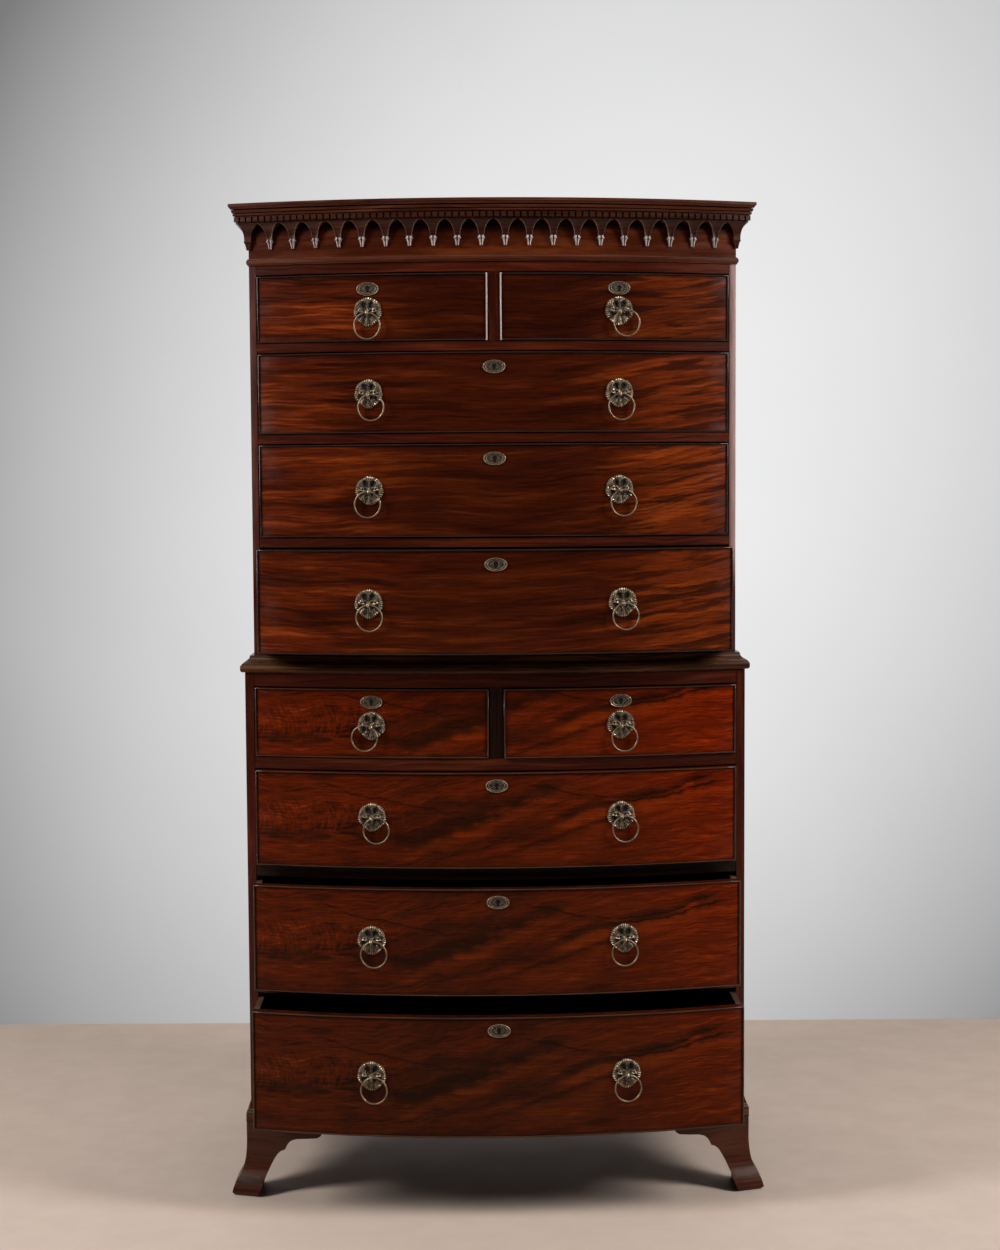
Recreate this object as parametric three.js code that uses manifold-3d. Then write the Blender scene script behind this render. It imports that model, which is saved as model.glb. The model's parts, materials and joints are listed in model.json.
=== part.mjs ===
// A chest on chest: two cases of drawers, one on the other, with a bowed front.
// Millimetres, +Z up, and the front faces -Y. The drawers stand as far out as they were left.
// The origin is on the floor, below the middle of everything.

import * as THREE from 'three';
import { mergeVertices } from 'three/addons/utils/BufferGeometryUtils.js';
import Module from 'manifold-3d';

const wasm = await Module();
wasm.setup();

// Clearances, how far a cutter or a planted moulding runs past a face, and the least step
const seatGap = 0.3;
const drawerRunGap = 0.6;
const drawerHeadGap = 1.8;
const drawerSideGap = 0.8;
const caseGap = 0.8;
const overrun = 6;
const fineness = 0.02;
const rooted = 1.5;

// Both cases, seen from above
const lowerWidth = 1016;
const upperStepIn = 18;
const upperWidth = lowerWidth - 2 * upperStepIn;
const bow = 74;
const caseDepth = 500;
const lowerStep = 13;
const upperWall = 14;
const lowerWall = 18.5;
const upperDivider = 22;
const lowerDivider = 27;
const backBoard = 12;
const backInset = 2;
const frontFacets = 12;

// Heights of what is stacked, from the floor up
const footHeight = 145;
const baseBoard = 28;
const lowerHeights = [240, 215, 194.5, 140.5];
const lowerRail = 24;
const lowerTopRail = 28;
const waistSlab = 20;
const upperBottomBoard = 21.5;
const upperHeights = [208, 186.5, 160.5, 133.5];
const upperRail = 19;
const upperTopBoard = 20;
const friezeHeight = 82.5;

// Mouldings: how far each stands out from its case and how high it is. The shares in their
// outlines are of those two sizes.
const baseOut = 9.5;
const baseShares = [[1, 0], [1, 0.75], [0.5, 1]];
const shoulderRise = 15;
const waistOut = 9.3;
const waistShares = [[0.6, 0], [1, 0.2], [1, 0.6], [0.65, 0.93]];
const waistNeckOut = -10;
const waistRise = 13.5;
const waistNeckShares = [[0.2, 0.1], [0.85, 0.45], [1, 1]];
const astragalHeight = 13;
const astragalOut = 5;
const astragalShares = [[0.5, 0], [1, 0.25], [1, 0.75], [0.5, 1]];
const dentilHeight = 13.3;
const dentilPitch = 12.6;
const dentilToothShare = 0.66;
const dentilBackOut = 21;
const dentilOut = 26;
const crownHeight = 23.5;
const crownListOut = 29;
const crownOut = 37.5;
const crownShares = [[0, 0], [0, 0.34], [0.5, 0.48], [1, 0.72], [1, 1]];

// Frieze and its arcade of hanging arches
const friezeWall = 16;
const archPitch = 46.7;
const archStripHeight = 4.3;
const archFootHeight = 44;
const archFootOut = 5;
const archHeadOut = 20;
const archLeanPower = 1.5;
const spandrelShares = [[0, 0.15], [0.5, 0.32], [0.85, 0.56], [1, 0.98]];
const pendantLength = 12;
const pendantReach = 4.6;
const pendantShares = [[-1, 0.2], [-0.65, 0.8], [-0.4, 0.4], [-0.15, 1]];

// Feet: how far each stands out from the case, and its bracket's edge as shares of its
// length and height
const footOut = 9;
const footFlare = 29;
const flareShares = [
  [0, 0.93], [0.04, 1], [0.1, 0.91], [0.2, 0.75], [0.28, 0.46], [0.38, 0.23], [0.55, 0.09],
  [0.69, 0], [1, 0],
];
const footFacing = 12;
const footLength = 153;
const bracketShares = [
  [0.105, 0], [0.18, 0.21], [0.3, 0.52], [0.37, 0.6], [0.465, 0.65], [0.49, 0.72],
  [0.55, 0.78], [0.62, 0.81], [0.89, 0.84], [0.935, 0.87], [1, 0.97],
];
const glueBlock = 34;
const braceReach = 50;

// Drawers
const frontBoard = 20;
const beadWidth = 3;
const beadHeight = 3;
const boxWall = 11;
const boxFloor = 8;
const boxHeadDrop = 8;
const boxBackGap = 10;

// Ring pulls and keyhole plates
const pullX = 250;
const rosetteRadius = 29.5;
const rosetteDepth = 6.4;
const rosetteShares = [[0, 0], [1, 0], [1, 0.5], [0.8, 1], [0, 1]];
const eyeStand = 10;
const eyeDrop = 3;
const eyeLength = 5;
const eyeWall = 2;
const eyeClearance = 0.5;
const eyeNeck = 3;
const neckSides = 4;
const eyeSides = 8;
const ringRadius = 26;
const ringWire = 1.9;
const ringSides = 5;
const ringSteps = 14;
const rosetteSides = 12;
const plateWidth = 46;
const plateHeight = 27;
const plateDepth = 2.2;
const plateSides = 12;
const keyRadius = 2.7;
const keySlot = 2.8;
const keyLength = 8;
const keySides = 6;
const plateDropUpper = 30;
const plateDropLower = 27;

const looks = {
  carcass: { color: 0x4f1f10, roughness: 0.36, metalness: 0 },
  front: { color: 0x6e2c12, roughness: 0.28, metalness: 0 },
  lining: { color: 0x9a7448, roughness: 0.72, metalness: 0 },
  brass: { color: 0x5f5038, roughness: 0.42, metalness: 0.9 },
};

// Each row's pulls, lowest row first: how far they are above the middle of the drawer
const upperPullRises = [-2, 1, -1.5, -8];
const lowerPullRises = [2, 4, 7, -4];

// Each drawer, lowest row first: how far out it stands, where its pulls are, and how far
// each ring leans to the right, in degrees.
const upperRows = [
  [{ name: 'upper_long_3', side: 0, open: 78, pullRise: upperPullRises[0], lean: [5, 10] }],
  [{ name: 'upper_long_2', side: 0, open: 0, pullRise: upperPullRises[1], lean: [-6, 16] }],
  [{ name: 'upper_long_1', side: 0, open: 0, pullRise: upperPullRises[2], lean: [14, 6] }],
  [
    { name: 'upper_short_left', side: -1, open: 0, pullRise: upperPullRises[3], lean: [0] },
    { name: 'upper_short_right', side: 1, open: 0, pullRise: upperPullRises[3], lean: [32] },
  ],
];
const lowerRows = [
  [{ name: 'lower_long_3', side: 0, open: 141, pullRise: lowerPullRises[0], lean: [13, 3] }],
  [{ name: 'lower_long_2', side: 0, open: 83, pullRise: lowerPullRises[1], lean: [12, 0] }],
  [{ name: 'lower_long_1', side: 0, open: 13, pullRise: lowerPullRises[2], lean: [22, 16] }],
  [
    { name: 'lower_short_left', side: -1, open: 0, pullRise: lowerPullRises[3], lean: [-31] },
    { name: 'lower_short_right', side: 1, open: 6, pullRise: lowerPullRises[3], lean: [14] },
  ],
];

const chest = new THREE.Group();

function addMesh(parent, name, shape, look) {
  const mesh = new THREE.Mesh(geometryOf(shape), new THREE.MeshStandardMaterial(look));
  mesh.name = name;
  parent.add(mesh);
  return mesh;
}

// Solids and meshes

function solidOf(geometry) {
  const bare = geometry.clone();
  bare.deleteAttribute('normal');
  bare.deleteAttribute('uv');
  const merged = mergeVertices(bare);
  return new wasm.Manifold(new wasm.Mesh({
    numProp: 3,
    vertProperties: merged.attributes.position.array,
    triVerts: new Uint32Array(merged.index.array),
  }));
}

function geometryOf(shape) {
  const mesh = shape.simplify(fineness).getMesh();
  const geometry = new THREE.BufferGeometry();
  geometry.setAttribute('position', new THREE.BufferAttribute(mesh.vertProperties, 3));
  geometry.setIndex(new THREE.BufferAttribute(mesh.triVerts, 1));
  geometry.computeVertexNormals();
  return geometry;
}

// A closed solid from points and triangles, turned right side out.
function solidFrom(points, faces) {
  const corner = new THREE.Vector3();
  const volume = faces.reduce((sum, [a, b, c]) => {
    corner.fromArray(points[b]).cross(new THREE.Vector3().fromArray(points[c]));
    return sum + corner.dot(new THREE.Vector3().fromArray(points[a]));
  }, 0);
  const turned = volume < 0 ? faces.map(([a, b, c]) => [a, c, b]) : faces;
  return new wasm.Manifold(new wasm.Mesh({
    numProp: 3,
    vertProperties: new Float32Array(points.flat()),
    triVerts: new Uint32Array(turned.flat()),
  }));
}

// The triangles that fill an outline, wound the way it runs.
function fillOutline(outline) {
  const faces = THREE.ShapeUtils.triangulateShape(outline, []);
  const area = faces.reduce((sum, face) => (
    sum + THREE.ShapeUtils.area(face.map((i) => outline[i]))
  ), 0);
  const turned = area * THREE.ShapeUtils.area(outline) < 0;
  return turned ? faces.map(([a, b, c]) => [a, c, b]) : faces;
}

// Loops of as many points each, joined side to side and closed at both ends.
function loftLoops(loops, endOutline) {
  const size = loops[0].length;
  const faces = [];
  for (let level = 0; level + 1 < loops.length; level += 1) {
    for (let i = 0; i < size; i += 1) {
      const a = level * size + i;
      const b = level * size + (i + 1) % size;
      faces.push([a, b, b + size], [a, b + size, a + size]);
    }
  }
  const last = (loops.length - 1) * size;
  for (const [a, b, c] of fillOutline(endOutline(loops[0]))) {
    faces.push([a, c, b]);
  }
  for (const [a, b, c] of fillOutline(endOutline(loops.at(-1)))) {
    faces.push([last + a, last + b, last + c]);
  }
  return solidFrom(loops.flat(), faces);
}

function seenFromAbove(loop) {
  return loop.map(([x, y]) => new THREE.Vector2(x, y));
}

function loftUp(loops) {
  return loftLoops(loops, seenFromAbove);
}

// A profile of [out, height] points carried along the path that each out distance has.
function sweepProfile(profile, pathAt) {
  const paths = profile.map(([out]) => pathAt(out));
  const loops = paths[0].map((_, step) => profile.map(([, z], i) => [...paths[i][step], z]));
  return loftLoops(loops, () => profile.map(([out, z]) => new THREE.Vector2(out, z)));
}

function extrudeUp(points, height) {
  const shape = new THREE.Shape(points.map(([x, y]) => new THREE.Vector2(x, y)));
  return new THREE.ExtrudeGeometry(shape, { depth: height, bevelEnabled: false });
}

function union(shapes) {
  return shapes.reduce((whole, next) => whole.add(next));
}

// The bowed front: an arc through a case's two front corners

function frontArc(width, cornerY) {
  const half = width / 2;
  const radius = (half * half + bow * bow) / (2 * bow);
  return { half, cornerY, radius, centreY: cornerY + radius - bow };
}

const upperFront = frontArc(upperWidth, 0);
const lowerFront = frontArc(lowerWidth, -lowerStep);
const backY = caseDepth;
const backFace = backY - backInset - backBoard - seatGap;

function insideHalf(front, wall) {
  return front.half - wall - seatGap;
}

function frontAt(front, x, out = 0) {
  const radius = front.radius + out;
  return front.centreY - Math.sqrt(radius * radius - x * x);
}

function facetCount(front, x0, x1) {
  return Math.max(1, Math.round(frontFacets * (x1 - x0) / (2 * front.half)));
}

function arcPoints(front, x0, x1, out, count) {
  return Array.from({ length: count + 1 }, (_, i) => {
    const x = x0 + (x1 - x0) * i / count;
    return [x, frontAt(front, x, out)];
  });
}

// A board with a bowed front edge and a straight back.
function bowedBoard(front, x0, x1, out, back, z, height) {
  const edge = arcPoints(front, x0, x1, out, facetCount(front, x0, x1));
  return solidOf(extrudeUp([...edge, [x1, back], [x0, back]], height)).translate([0, 0, z]);
}

// A panel bent to the bow, of even thickness.
function bowedPanel(front, x0, x1, out, thickness, z, height) {
  const count = facetCount(front, x0, x1);
  const face = arcPoints(front, x0, x1, out, count);
  const rear = arcPoints(front, x0, x1, out - thickness, count).reverse();
  return solidOf(extrudeUp([...face, ...rear], height)).translate([0, 0, z]);
}

// The outline of a case moved out all round but at its back.
function outlineAt(front, out, back) {
  const half = front.half + out;
  return [[-half, back], ...arcPoints(front, -half, half, out, frontFacets), [half, back]];
}

// A moulding's outline from its shares, between two reaches and up from a height.
function edgeOf(shares, from, to, z, height) {
  return shares.map(([outShare, heightShare]) => [
    from + (to - from) * outShare, z + height * heightShare,
  ]);
}

// A slab whose edge has a moulded profile on its front and sides.
function mouldedSlab(front, profile, back = backY) {
  return loftUp(profile.map(([out, z]) => outlineAt(front, out, back).map((p) => [...p, z])));
}

// Places on a bowed front and on the flat sides, for what is planted there

function onFront(front, along) {
  const angle = along / front.radius;
  const x = front.radius * Math.sin(angle);
  const y = front.centreY - front.radius * Math.cos(angle);
  return (shift, out) => [
    x + shift * Math.cos(angle) + out * Math.sin(angle),
    y + shift * Math.sin(angle) - out * Math.cos(angle),
  ];
}

function onSide(front, side, y) {
  return (shift, out) => [side * (front.half + out), y + shift];
}

function block(place, halfWidth, out0, out1, z0, z1) {
  const loop = [[-halfWidth, out0], [halfWidth, out0], [halfWidth, out1], [-halfWidth, out1]];
  const plan = loop.map(([shift, out]) => place(shift, out));
  return loftUp([z0, z1].map((z) => plan.map((p) => [...p, z])));
}

// Heights worked out from the stack

const lowerFloorTop = footHeight + seatGap + baseBoard;

function stackDrawers(floorTop, heights, rail) {
  let bottom = floorTop;
  return heights.map((height) => {
    const row = { z: bottom + drawerRunGap, height };
    row.top = row.z + height + drawerHeadGap;
    bottom = row.top + rail;
    return row;
  });
}

const lowerStack = stackDrawers(lowerFloorTop, lowerHeights, lowerRail);
const lowerCaseTop = lowerStack.at(-1).top + lowerTopRail;
const waistTop = lowerCaseTop + seatGap + waistSlab;
const upperFloorTop = waistTop + seatGap + upperBottomBoard;
const upperStack = stackDrawers(upperFloorTop, upperHeights, upperRail);
const upperCaseTop = upperStack.at(-1).top + upperTopBoard;
const friezeZ = upperCaseTop + seatGap;
const friezeTop = friezeZ + friezeHeight;
const corniceZ = friezeTop + seatGap;

// Arcade: spandrels between the arches, each running down into a small pendant

const archFootZ = friezeZ + archFootHeight;
const archHeadZ = friezeTop - archStripHeight;

function spandrelLevels(halfPitch) {
  const drops = pendantShares.map(([heightShare, sizeShare]) => ({
    z: archFootZ + pendantLength * heightShare,
    width: pendantReach * sizeShare,
    out: archFootOut * sizeShare,
  }));
  const sides = spandrelShares.map(([heightShare, widthShare]) => ({
    z: archFootZ + (archHeadZ + rooted - archFootZ) * heightShare,
    width: halfPitch * widthShare,
    out: archFootOut + (archHeadOut - archFootOut) * heightShare ** archLeanPower,
  }));
  return [...drops, ...sides];
}

function spandrel(place, halfPitch) {
  return loftUp(spandrelLevels(halfPitch).map(({ z, width, out }) => {
    const loop = [[-width, -rooted], [width, -rooted], [width, out], [-width, out]];
    return loop.map(([shift, reach]) => [...place(shift, reach), z]);
  }));
}

const returnY = frontAt(upperFront, upperFront.half, -friezeWall);

// The spandrel at a front corner, which turns on to the side.
function cornerSpandrel(side, halfPitch) {
  const { half, cornerY } = upperFront;
  return loftUp(spandrelLevels(halfPitch).map(({ z, width, out }) => {
    const reach = Math.max(width, 2 * rooted);
    const sideEnd = Math.min(cornerY + reach, returnY);
    const inner = half - reach;
    const plan = [
      [inner, frontAt(upperFront, inner, -rooted)],
      [inner, frontAt(upperFront, inner, out)],
      [half + out, frontAt(upperFront, half + out, out)],
      [half + out, sideEnd],
      [half - rooted, sideEnd],
    ];
    return plan.map(([x, y]) => [side * x, y, z]);
  }));
}

// Mouldings that run across the frieze, and on along the sides

function astragalProfile() {
  const edge = edgeOf(astragalShares, 0, astragalOut, friezeZ, astragalHeight);
  return [[-rooted, friezeZ], ...edge, [-rooted, friezeZ + astragalHeight]];
}

function stripProfile() {
  const z = friezeTop - archStripHeight;
  return [[-rooted, z], [archHeadOut, z], [archHeadOut, friezeTop], [-rooted, friezeTop]];
}

function aroundFrieze(out) {
  return outlineAt(upperFront, out, returnY);
}

function alongSide(side) {
  return (out) => [
    [side * (upperFront.half + out), returnY + seatGap], [side * (upperFront.half + out), backY],
  ];
}

function makeFrieze() {
  const arcLength = 2 * upperFront.radius * Math.asin(upperFront.half / upperFront.radius);
  const arches = Math.round(arcLength / archPitch);
  const pitch = arcLength / arches;
  const parts = [
    bowedPanel(upperFront, -upperFront.half, upperFront.half, 0, friezeWall, friezeZ, friezeHeight),
    sweepProfile(astragalProfile(), aroundFrieze),
    sweepProfile(stripProfile(), aroundFrieze),
    cornerSpandrel(-1, pitch / 2),
    cornerSpandrel(1, pitch / 2),
  ];
  for (let i = 1; i < arches; i += 1) {
    parts.push(spandrel(onFront(upperFront, i * pitch - arcLength / 2), pitch / 2));
  }
  return union(parts);
}

// Case boards

function makeUpperSide(side) {
  const { half } = upperFront;
  const edges = [side * half, side * (half - upperWall)].sort((a, b) => a - b);
  const bottom = waistTop + seatGap;
  const reach = half + overrun;
  const board = bowedBoard(upperFront, ...edges, 0, backY, bottom, friezeTop - bottom);
  const rebate = bowedPanel(
    upperFront, -reach, reach, overrun, overrun + friezeWall + seatGap, upperCaseTop,
    friezeHeight + overrun,
  );
  const run = backY - upperFront.cornerY;
  const count = Math.round(run / archPitch);
  const pitch = run / count;
  const parts = [
    board.subtract(rebate),
    sweepProfile(astragalProfile(), alongSide(side)),
    sweepProfile(stripProfile(), alongSide(side)),
  ];
  for (let i = 1; i < count; i += 1) {
    parts.push(spandrel(onSide(upperFront, side, upperFront.cornerY + i * pitch), pitch / 2));
  }
  return union(parts);
}

// A side of the lower case, with the moulding that slopes up to it from the base.
function makeLowerSide(side) {
  const { half } = lowerFront;
  const inner = half - lowerWall;
  const edges = [side * half, side * inner].sort((a, b) => a - b);
  const z = lowerFloorTop + seatGap;
  const shoulder = [
    [-rooted, z], [baseOut * baseShares.at(-1)[0], z], [seatGap, z + shoulderRise],
    [-rooted, z + shoulderRise],
  ];
  const around = (out) => [
    [side * inner, frontAt(lowerFront, inner, out)],
    [side * (half + out), frontAt(lowerFront, half + out, out)],
    [side * (half + out), backY],
  ];
  const board = bowedBoard(lowerFront, ...edges, 0, backY, z, lowerCaseTop - z);
  return board.add(sweepProfile(shoulder, around));
}

function makeBack(inner, z0, z1) {
  const board = new THREE.BoxGeometry(2 * inner, backBoard, z1 - z0);
  return solidOf(board.translate(0, backFace + seatGap + backBoard / 2, (z0 + z1) / 2));
}

function makeCornice() {
  const z = corniceZ;
  const crownZ = z + dentilHeight;
  const slab = mouldedSlab(upperFront, [
    [dentilBackOut, z], [dentilBackOut, crownZ],
    ...edgeOf(crownShares, crownListOut, crownOut, crownZ, crownHeight),
  ]);
  const { half, radius, cornerY } = upperFront;
  const tooth = dentilPitch * dentilToothShare / 2;
  const back = dentilBackOut - rooted;
  const parts = [slab];
  const frontRun = 2 * radius * Math.asin((half + dentilBackOut) / (radius + dentilBackOut));
  const teeth = Math.floor(frontRun / dentilPitch);
  for (let i = 0; i < teeth; i += 1) {
    const place = onFront(upperFront, (i - (teeth - 1) / 2) * dentilPitch);
    parts.push(block(place, tooth, back, dentilOut, z, crownZ + rooted));
  }
  const sideRun = backY - cornerY;
  for (let y = dentilPitch / 2; y + dentilPitch / 2 < sideRun; y += dentilPitch) {
    for (const side of [-1, 1]) {
      const place = onSide(upperFront, side, backY - y);
      parts.push(block(place, tooth, back, dentilOut, z, crownZ + rooted));
    }
  }
  return union(parts);
}

// The lower case's top board, with the rail over its short drawers and the waist moulding,
// whose raised edge holds the upper case in place.
function makeWaist() {
  const inner = insideHalf(lowerFront, lowerWall);
  const z = lowerCaseTop + seatGap;
  const moulded = mouldedSlab(lowerFront, [
    ...edgeOf(waistShares, 0, waistOut, z, waistSlab),
    ...edgeOf(waistNeckShares, 0, waistNeckOut, waistTop, waistRise),
  ]);
  const seat = mouldedSlab(
    upperFront, [[caseGap, waistTop], [caseGap, waistTop + waistRise + overrun]],
    backY + overrun,
  );
  const railZ = lowerStack.at(-1).top;
  const rail = bowedBoard(lowerFront, -inner, inner, 0, backFace, railZ, z + rooted - railZ);
  return moulded.subtract(seat).add(rail);
}

// The lower case's bottom board, whose edge is the base moulding.
function makeBase() {
  return mouldedSlab(
    lowerFront, edgeOf(baseShares, 0, baseOut, footHeight + seatGap, baseBoard),
  );
}

// Feet: facings that flare to the floor, cut to a cusped bracket

function footProfile() {
  const outer = flareShares.map(([heightShare, flareShare]) => (
    [footOut + footFlare * flareShare, footHeight * heightShare]
  ));
  return [...outer, [-footFacing, footHeight], [-footFacing, 0]];
}

// What is cut away: how far in from the case's edge and how high.
function bracketOutline() {
  const edge = bracketShares.map(([inShare, heightShare]) => (
    [footLength * inShare, footHeight * heightShare]
  ));
  const end = footLength + overrun;
  return [[edge[0][0], -overrun], ...edge, [end, edge.at(-1)[1]], [end, -overrun]];
}

const footEdge = lowerFront.half - footFacing;

function cutFrontBracket(side) {
  const depth = bow + footFlare + footLength;
  const shape = extrudeUp(bracketOutline().map(([inward, z]) => [lowerFront.half - inward, z]), depth);
  const cut = solidOf(shape.rotateX(Math.PI / 2).translate(0, lowerFront.cornerY + footFacing, 0));
  return side < 0 ? cut.mirror([1, 0, 0]) : cut;
}

function cutSideBracket(side, cornerY, towards) {
  const depth = footFacing + footFlare + footOut + 2 * overrun;
  const outline = bracketOutline().map(([inward, z]) => [cornerY + towards * inward, z]);
  const shape = extrudeUp(outline, depth).rotateX(Math.PI / 2).rotateZ(Math.PI / 2);
  const cut = solidOf(shape.translate(footEdge - overrun, 0, 0));
  return side < 0 ? cut.mirror([1, 0, 0]) : cut;
}

function makeFrontFoot(side) {
  const { half, cornerY } = lowerFront;
  const inner = half - footLength;
  const count = 3 * facetCount(lowerFront, inner, half);
  const facing = sweepProfile(footProfile(), (out) => [
    [side * (half + out), cornerY + footLength],
    ...arcPoints(lowerFront, half + out, inner, out, count).map(([x, y]) => [side * x, y]),
  ]);
  const blockSize = [glueBlock, glueBlock, footHeight];
  const corner = new THREE.BoxGeometry(...blockSize).translate(
    side * (footEdge + rooted - glueBlock / 2), cornerY + footFacing - rooted + glueBlock / 2,
    footHeight / 2,
  );
  return facing.subtract(cutFrontBracket(side)).subtract(cutSideBracket(side, cornerY, 1))
    .add(solidOf(corner));
}

function makeRearFoot(side) {
  const { half } = lowerFront;
  const facing = sweepProfile(footProfile(), (out) => [
    [side * (half + out), backY - footLength], [side * (half + out), backY],
  ]);
  const foot = footEdge + rooted;
  const end = half - footLength;
  const brace = extrudeUp([
    [foot, 0], [foot, footHeight], [end, footHeight], [end, footHeight * bracketShares.at(-1)[1]],
    [footEdge - braceReach, footHeight / 2], [footEdge - glueBlock, 0],
  ], footFacing + backInset);
  brace.rotateX(Math.PI / 2).translate(0, backY, 0);
  const braceSolid = solidOf(brace);
  return facing.subtract(cutSideBracket(side, backY, -1))
    .add(side < 0 ? braceSolid.mirror([1, 0, 0]) : braceSolid);
}

// Drawer fronts with their brass

function faceMatrix(front, x, z) {
  const slope = Math.asin(x / front.radius);
  const matrix = new THREE.Matrix4().makeRotationZ(slope);
  return matrix.setPosition(x, frontAt(front, x), z);
}

function leanMatrix(lean) {
  const matrix = new THREE.Matrix4().makeRotationY(-THREE.MathUtils.degToRad(lean));
  return matrix.setPosition(0, -eyeStand, -eyeDrop);
}

// Around the origin, standing out towards -Y.
function makeRosette(lean) {
  const profile = rosetteShares.map(([radiusShare, depthShare]) => new THREE.Vector2(
    rosetteRadius * radiusShare, (rosetteDepth + rooted) * depthShare - rooted,
  ));
  const plate = new THREE.LatheGeometry(profile, rosetteSides).rotateX(Math.PI);
  const bore = ringWire + eyeClearance;
  const hoop = new THREE.Shape().absarc(0, 0, bore + eyeWall, 0, 2 * Math.PI);
  hoop.holes.push(new THREE.Path().absarc(0, 0, bore, 0, 2 * Math.PI, true));
  const eye = new THREE.ExtrudeGeometry(
    hoop, { depth: eyeLength, bevelEnabled: false, curveSegments: eyeSides / 2 },
  );
  eye.translate(0, 0, -eyeLength / 2).rotateY(Math.PI / 2).applyMatrix4(leanMatrix(lean));
  const neckLength = eyeStand - bore - eyeWall / 2;
  const neck = new THREE.CylinderGeometry(eyeNeck, eyeNeck, neckLength, neckSides);
  neck.translate(0, -neckLength / 2, -eyeDrop);
  return [plate, eye, neck];
}

function makeKeyPlate() {
  const oval = Array.from({ length: plateSides }, (_, i) => {
    const angle = 2 * Math.PI * i / plateSides;
    return [Math.cos(angle) * plateWidth / 2, Math.sin(angle) * plateHeight / 2];
  });
  return extrudeUp(oval, plateDepth + rooted).rotateX(Math.PI / 2).translate(0, rooted, 0);
}

function makeKeyhole() {
  const slotAngle = Math.PI / 3;
  const hole = new THREE.Shape();
  hole.absarc(0, 0, keyRadius, -slotAngle, Math.PI + slotAngle);
  hole.lineTo(-keySlot / 2, -keyLength).lineTo(keySlot / 2, -keyLength);
  const cut = new THREE.ExtrudeGeometry(
    hole, { depth: 2 * overrun, bevelEnabled: false, curveSegments: keySides / 2 },
  );
  return cut.rotateX(Math.PI / 2).translate(0, overrun, keyLength / 4);
}

function makeDrawerFront(front, x0, x1, height, pulls, keyX, keyZ) {
  const reach = beadHeight + overrun;
  const board = bowedPanel(front, x0, x1, beadHeight, beadHeight + frontBoard, 0, height);
  const pocket = bowedPanel(
    front, x0 + beadWidth, x1 - beadWidth, reach, reach, beadWidth, height - 2 * beadWidth,
  );
  let shape = board.subtract(pocket);
  for (const { x, z, lean } of pulls) {
    for (const piece of makeRosette(lean)) {
      shape = shape.add(solidOf(piece.applyMatrix4(faceMatrix(front, x, z))));
    }
  }
  const keyPlace = faceMatrix(front, keyX, keyZ);
  shape = shape.add(solidOf(makeKeyPlate().applyMatrix4(keyPlace)));
  return shape.subtract(solidOf(makeKeyhole().applyMatrix4(keyPlace)));
}

function makeDrawerBox(front, x0, x1, height) {
  const rim = -frontBoard - seatGap;
  const back = backFace - boxBackGap;
  const deep = height - boxHeadDrop;
  const whole = bowedBoard(front, x0, x1, rim, back, 0, deep);
  const room = bowedBoard(
    front, x0 + boxWall, x1 - boxWall, rim + overrun, back - boxWall, boxFloor, deep,
  );
  return whole.subtract(room);
}

// A ring that hangs from the origin, where it passes through the eye.
function makeRing() {
  const ring = new THREE.TorusGeometry(ringRadius, ringWire, ringSides, ringSteps);
  const halfStep = Math.PI / ringSteps;
  ring.rotateZ(Math.PI / 2 - halfStep).rotateX(Math.PI / 2);
  return solidOf(ring.translate(0, 0, -ringRadius * Math.cos(halfStep)));
}

function addDrawer(front, wall, divider, row, drawer, plateDrop) {
  const edge = front.half - wall - drawerSideGap;
  const inside = divider / 2 + drawerSideGap;
  const x0 = drawer.side > 0 ? inside : -edge;
  const x1 = drawer.side < 0 ? -inside : edge;
  const pullZ = row.height / 2 + drawer.pullRise;
  const pullXs = drawer.side === 0 ? [-pullX, pullX] : [drawer.side * pullX];
  const pulls = pullXs.map((x, i) => ({ x, z: pullZ, lean: drawer.lean[i] }));
  const group = new THREE.Group();
  group.position.set(0, -drawer.open, row.z);
  chest.add(group);
  const keyX = drawer.side * pullX;
  const keyZ = row.height - plateDrop;
  addMesh(
    group, `${drawer.name}_front`,
    makeDrawerFront(front, x0, x1, row.height, pulls, keyX, keyZ), looks.front,
  );
  addMesh(group, `${drawer.name}_box`, makeDrawerBox(front, x0, x1, row.height), looks.lining);
  pulls.forEach(({ x, z, lean }, i) => {
    const suffix = drawer.side === 0 ? ['_left', '_right'][i] : '';
    const ring = addMesh(group, `${drawer.name}_ring${suffix}`, makeRing(), looks.brass);
    faceMatrix(front, x, z).multiply(leanMatrix(lean)).decompose(
      ring.position, ring.quaternion, ring.scale,
    );
  });
}

function addCase(name, front, wall, divider, stack, rows, plateDrop) {
  const inner = insideHalf(front, wall);
  stack.forEach((row, level) => {
    for (const drawer of rows[level]) {
      addDrawer(front, wall, divider, row, drawer, plateDrop);
    }
    const next = stack[level + 1];
    if (next) {
      const thickness = next.z - drawerRunGap - row.top;
      const board = bowedBoard(front, -inner, inner, 0, backFace, row.top, thickness);
      addMesh(chest, `${name}_dustboard_${stack.length - 1 - level}`, board, looks.carcass);
    }
  });
  const { z, top } = stack.at(-1);
  const foot = z - drawerRunGap + seatGap;
  const post = bowedBoard(front, -divider / 2, divider / 2, 0, backFace, foot, top - seatGap - foot);
  addMesh(chest, `${name}_drawer_divider`, post, looks.carcass);
}

// The lower case on its feet

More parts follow.
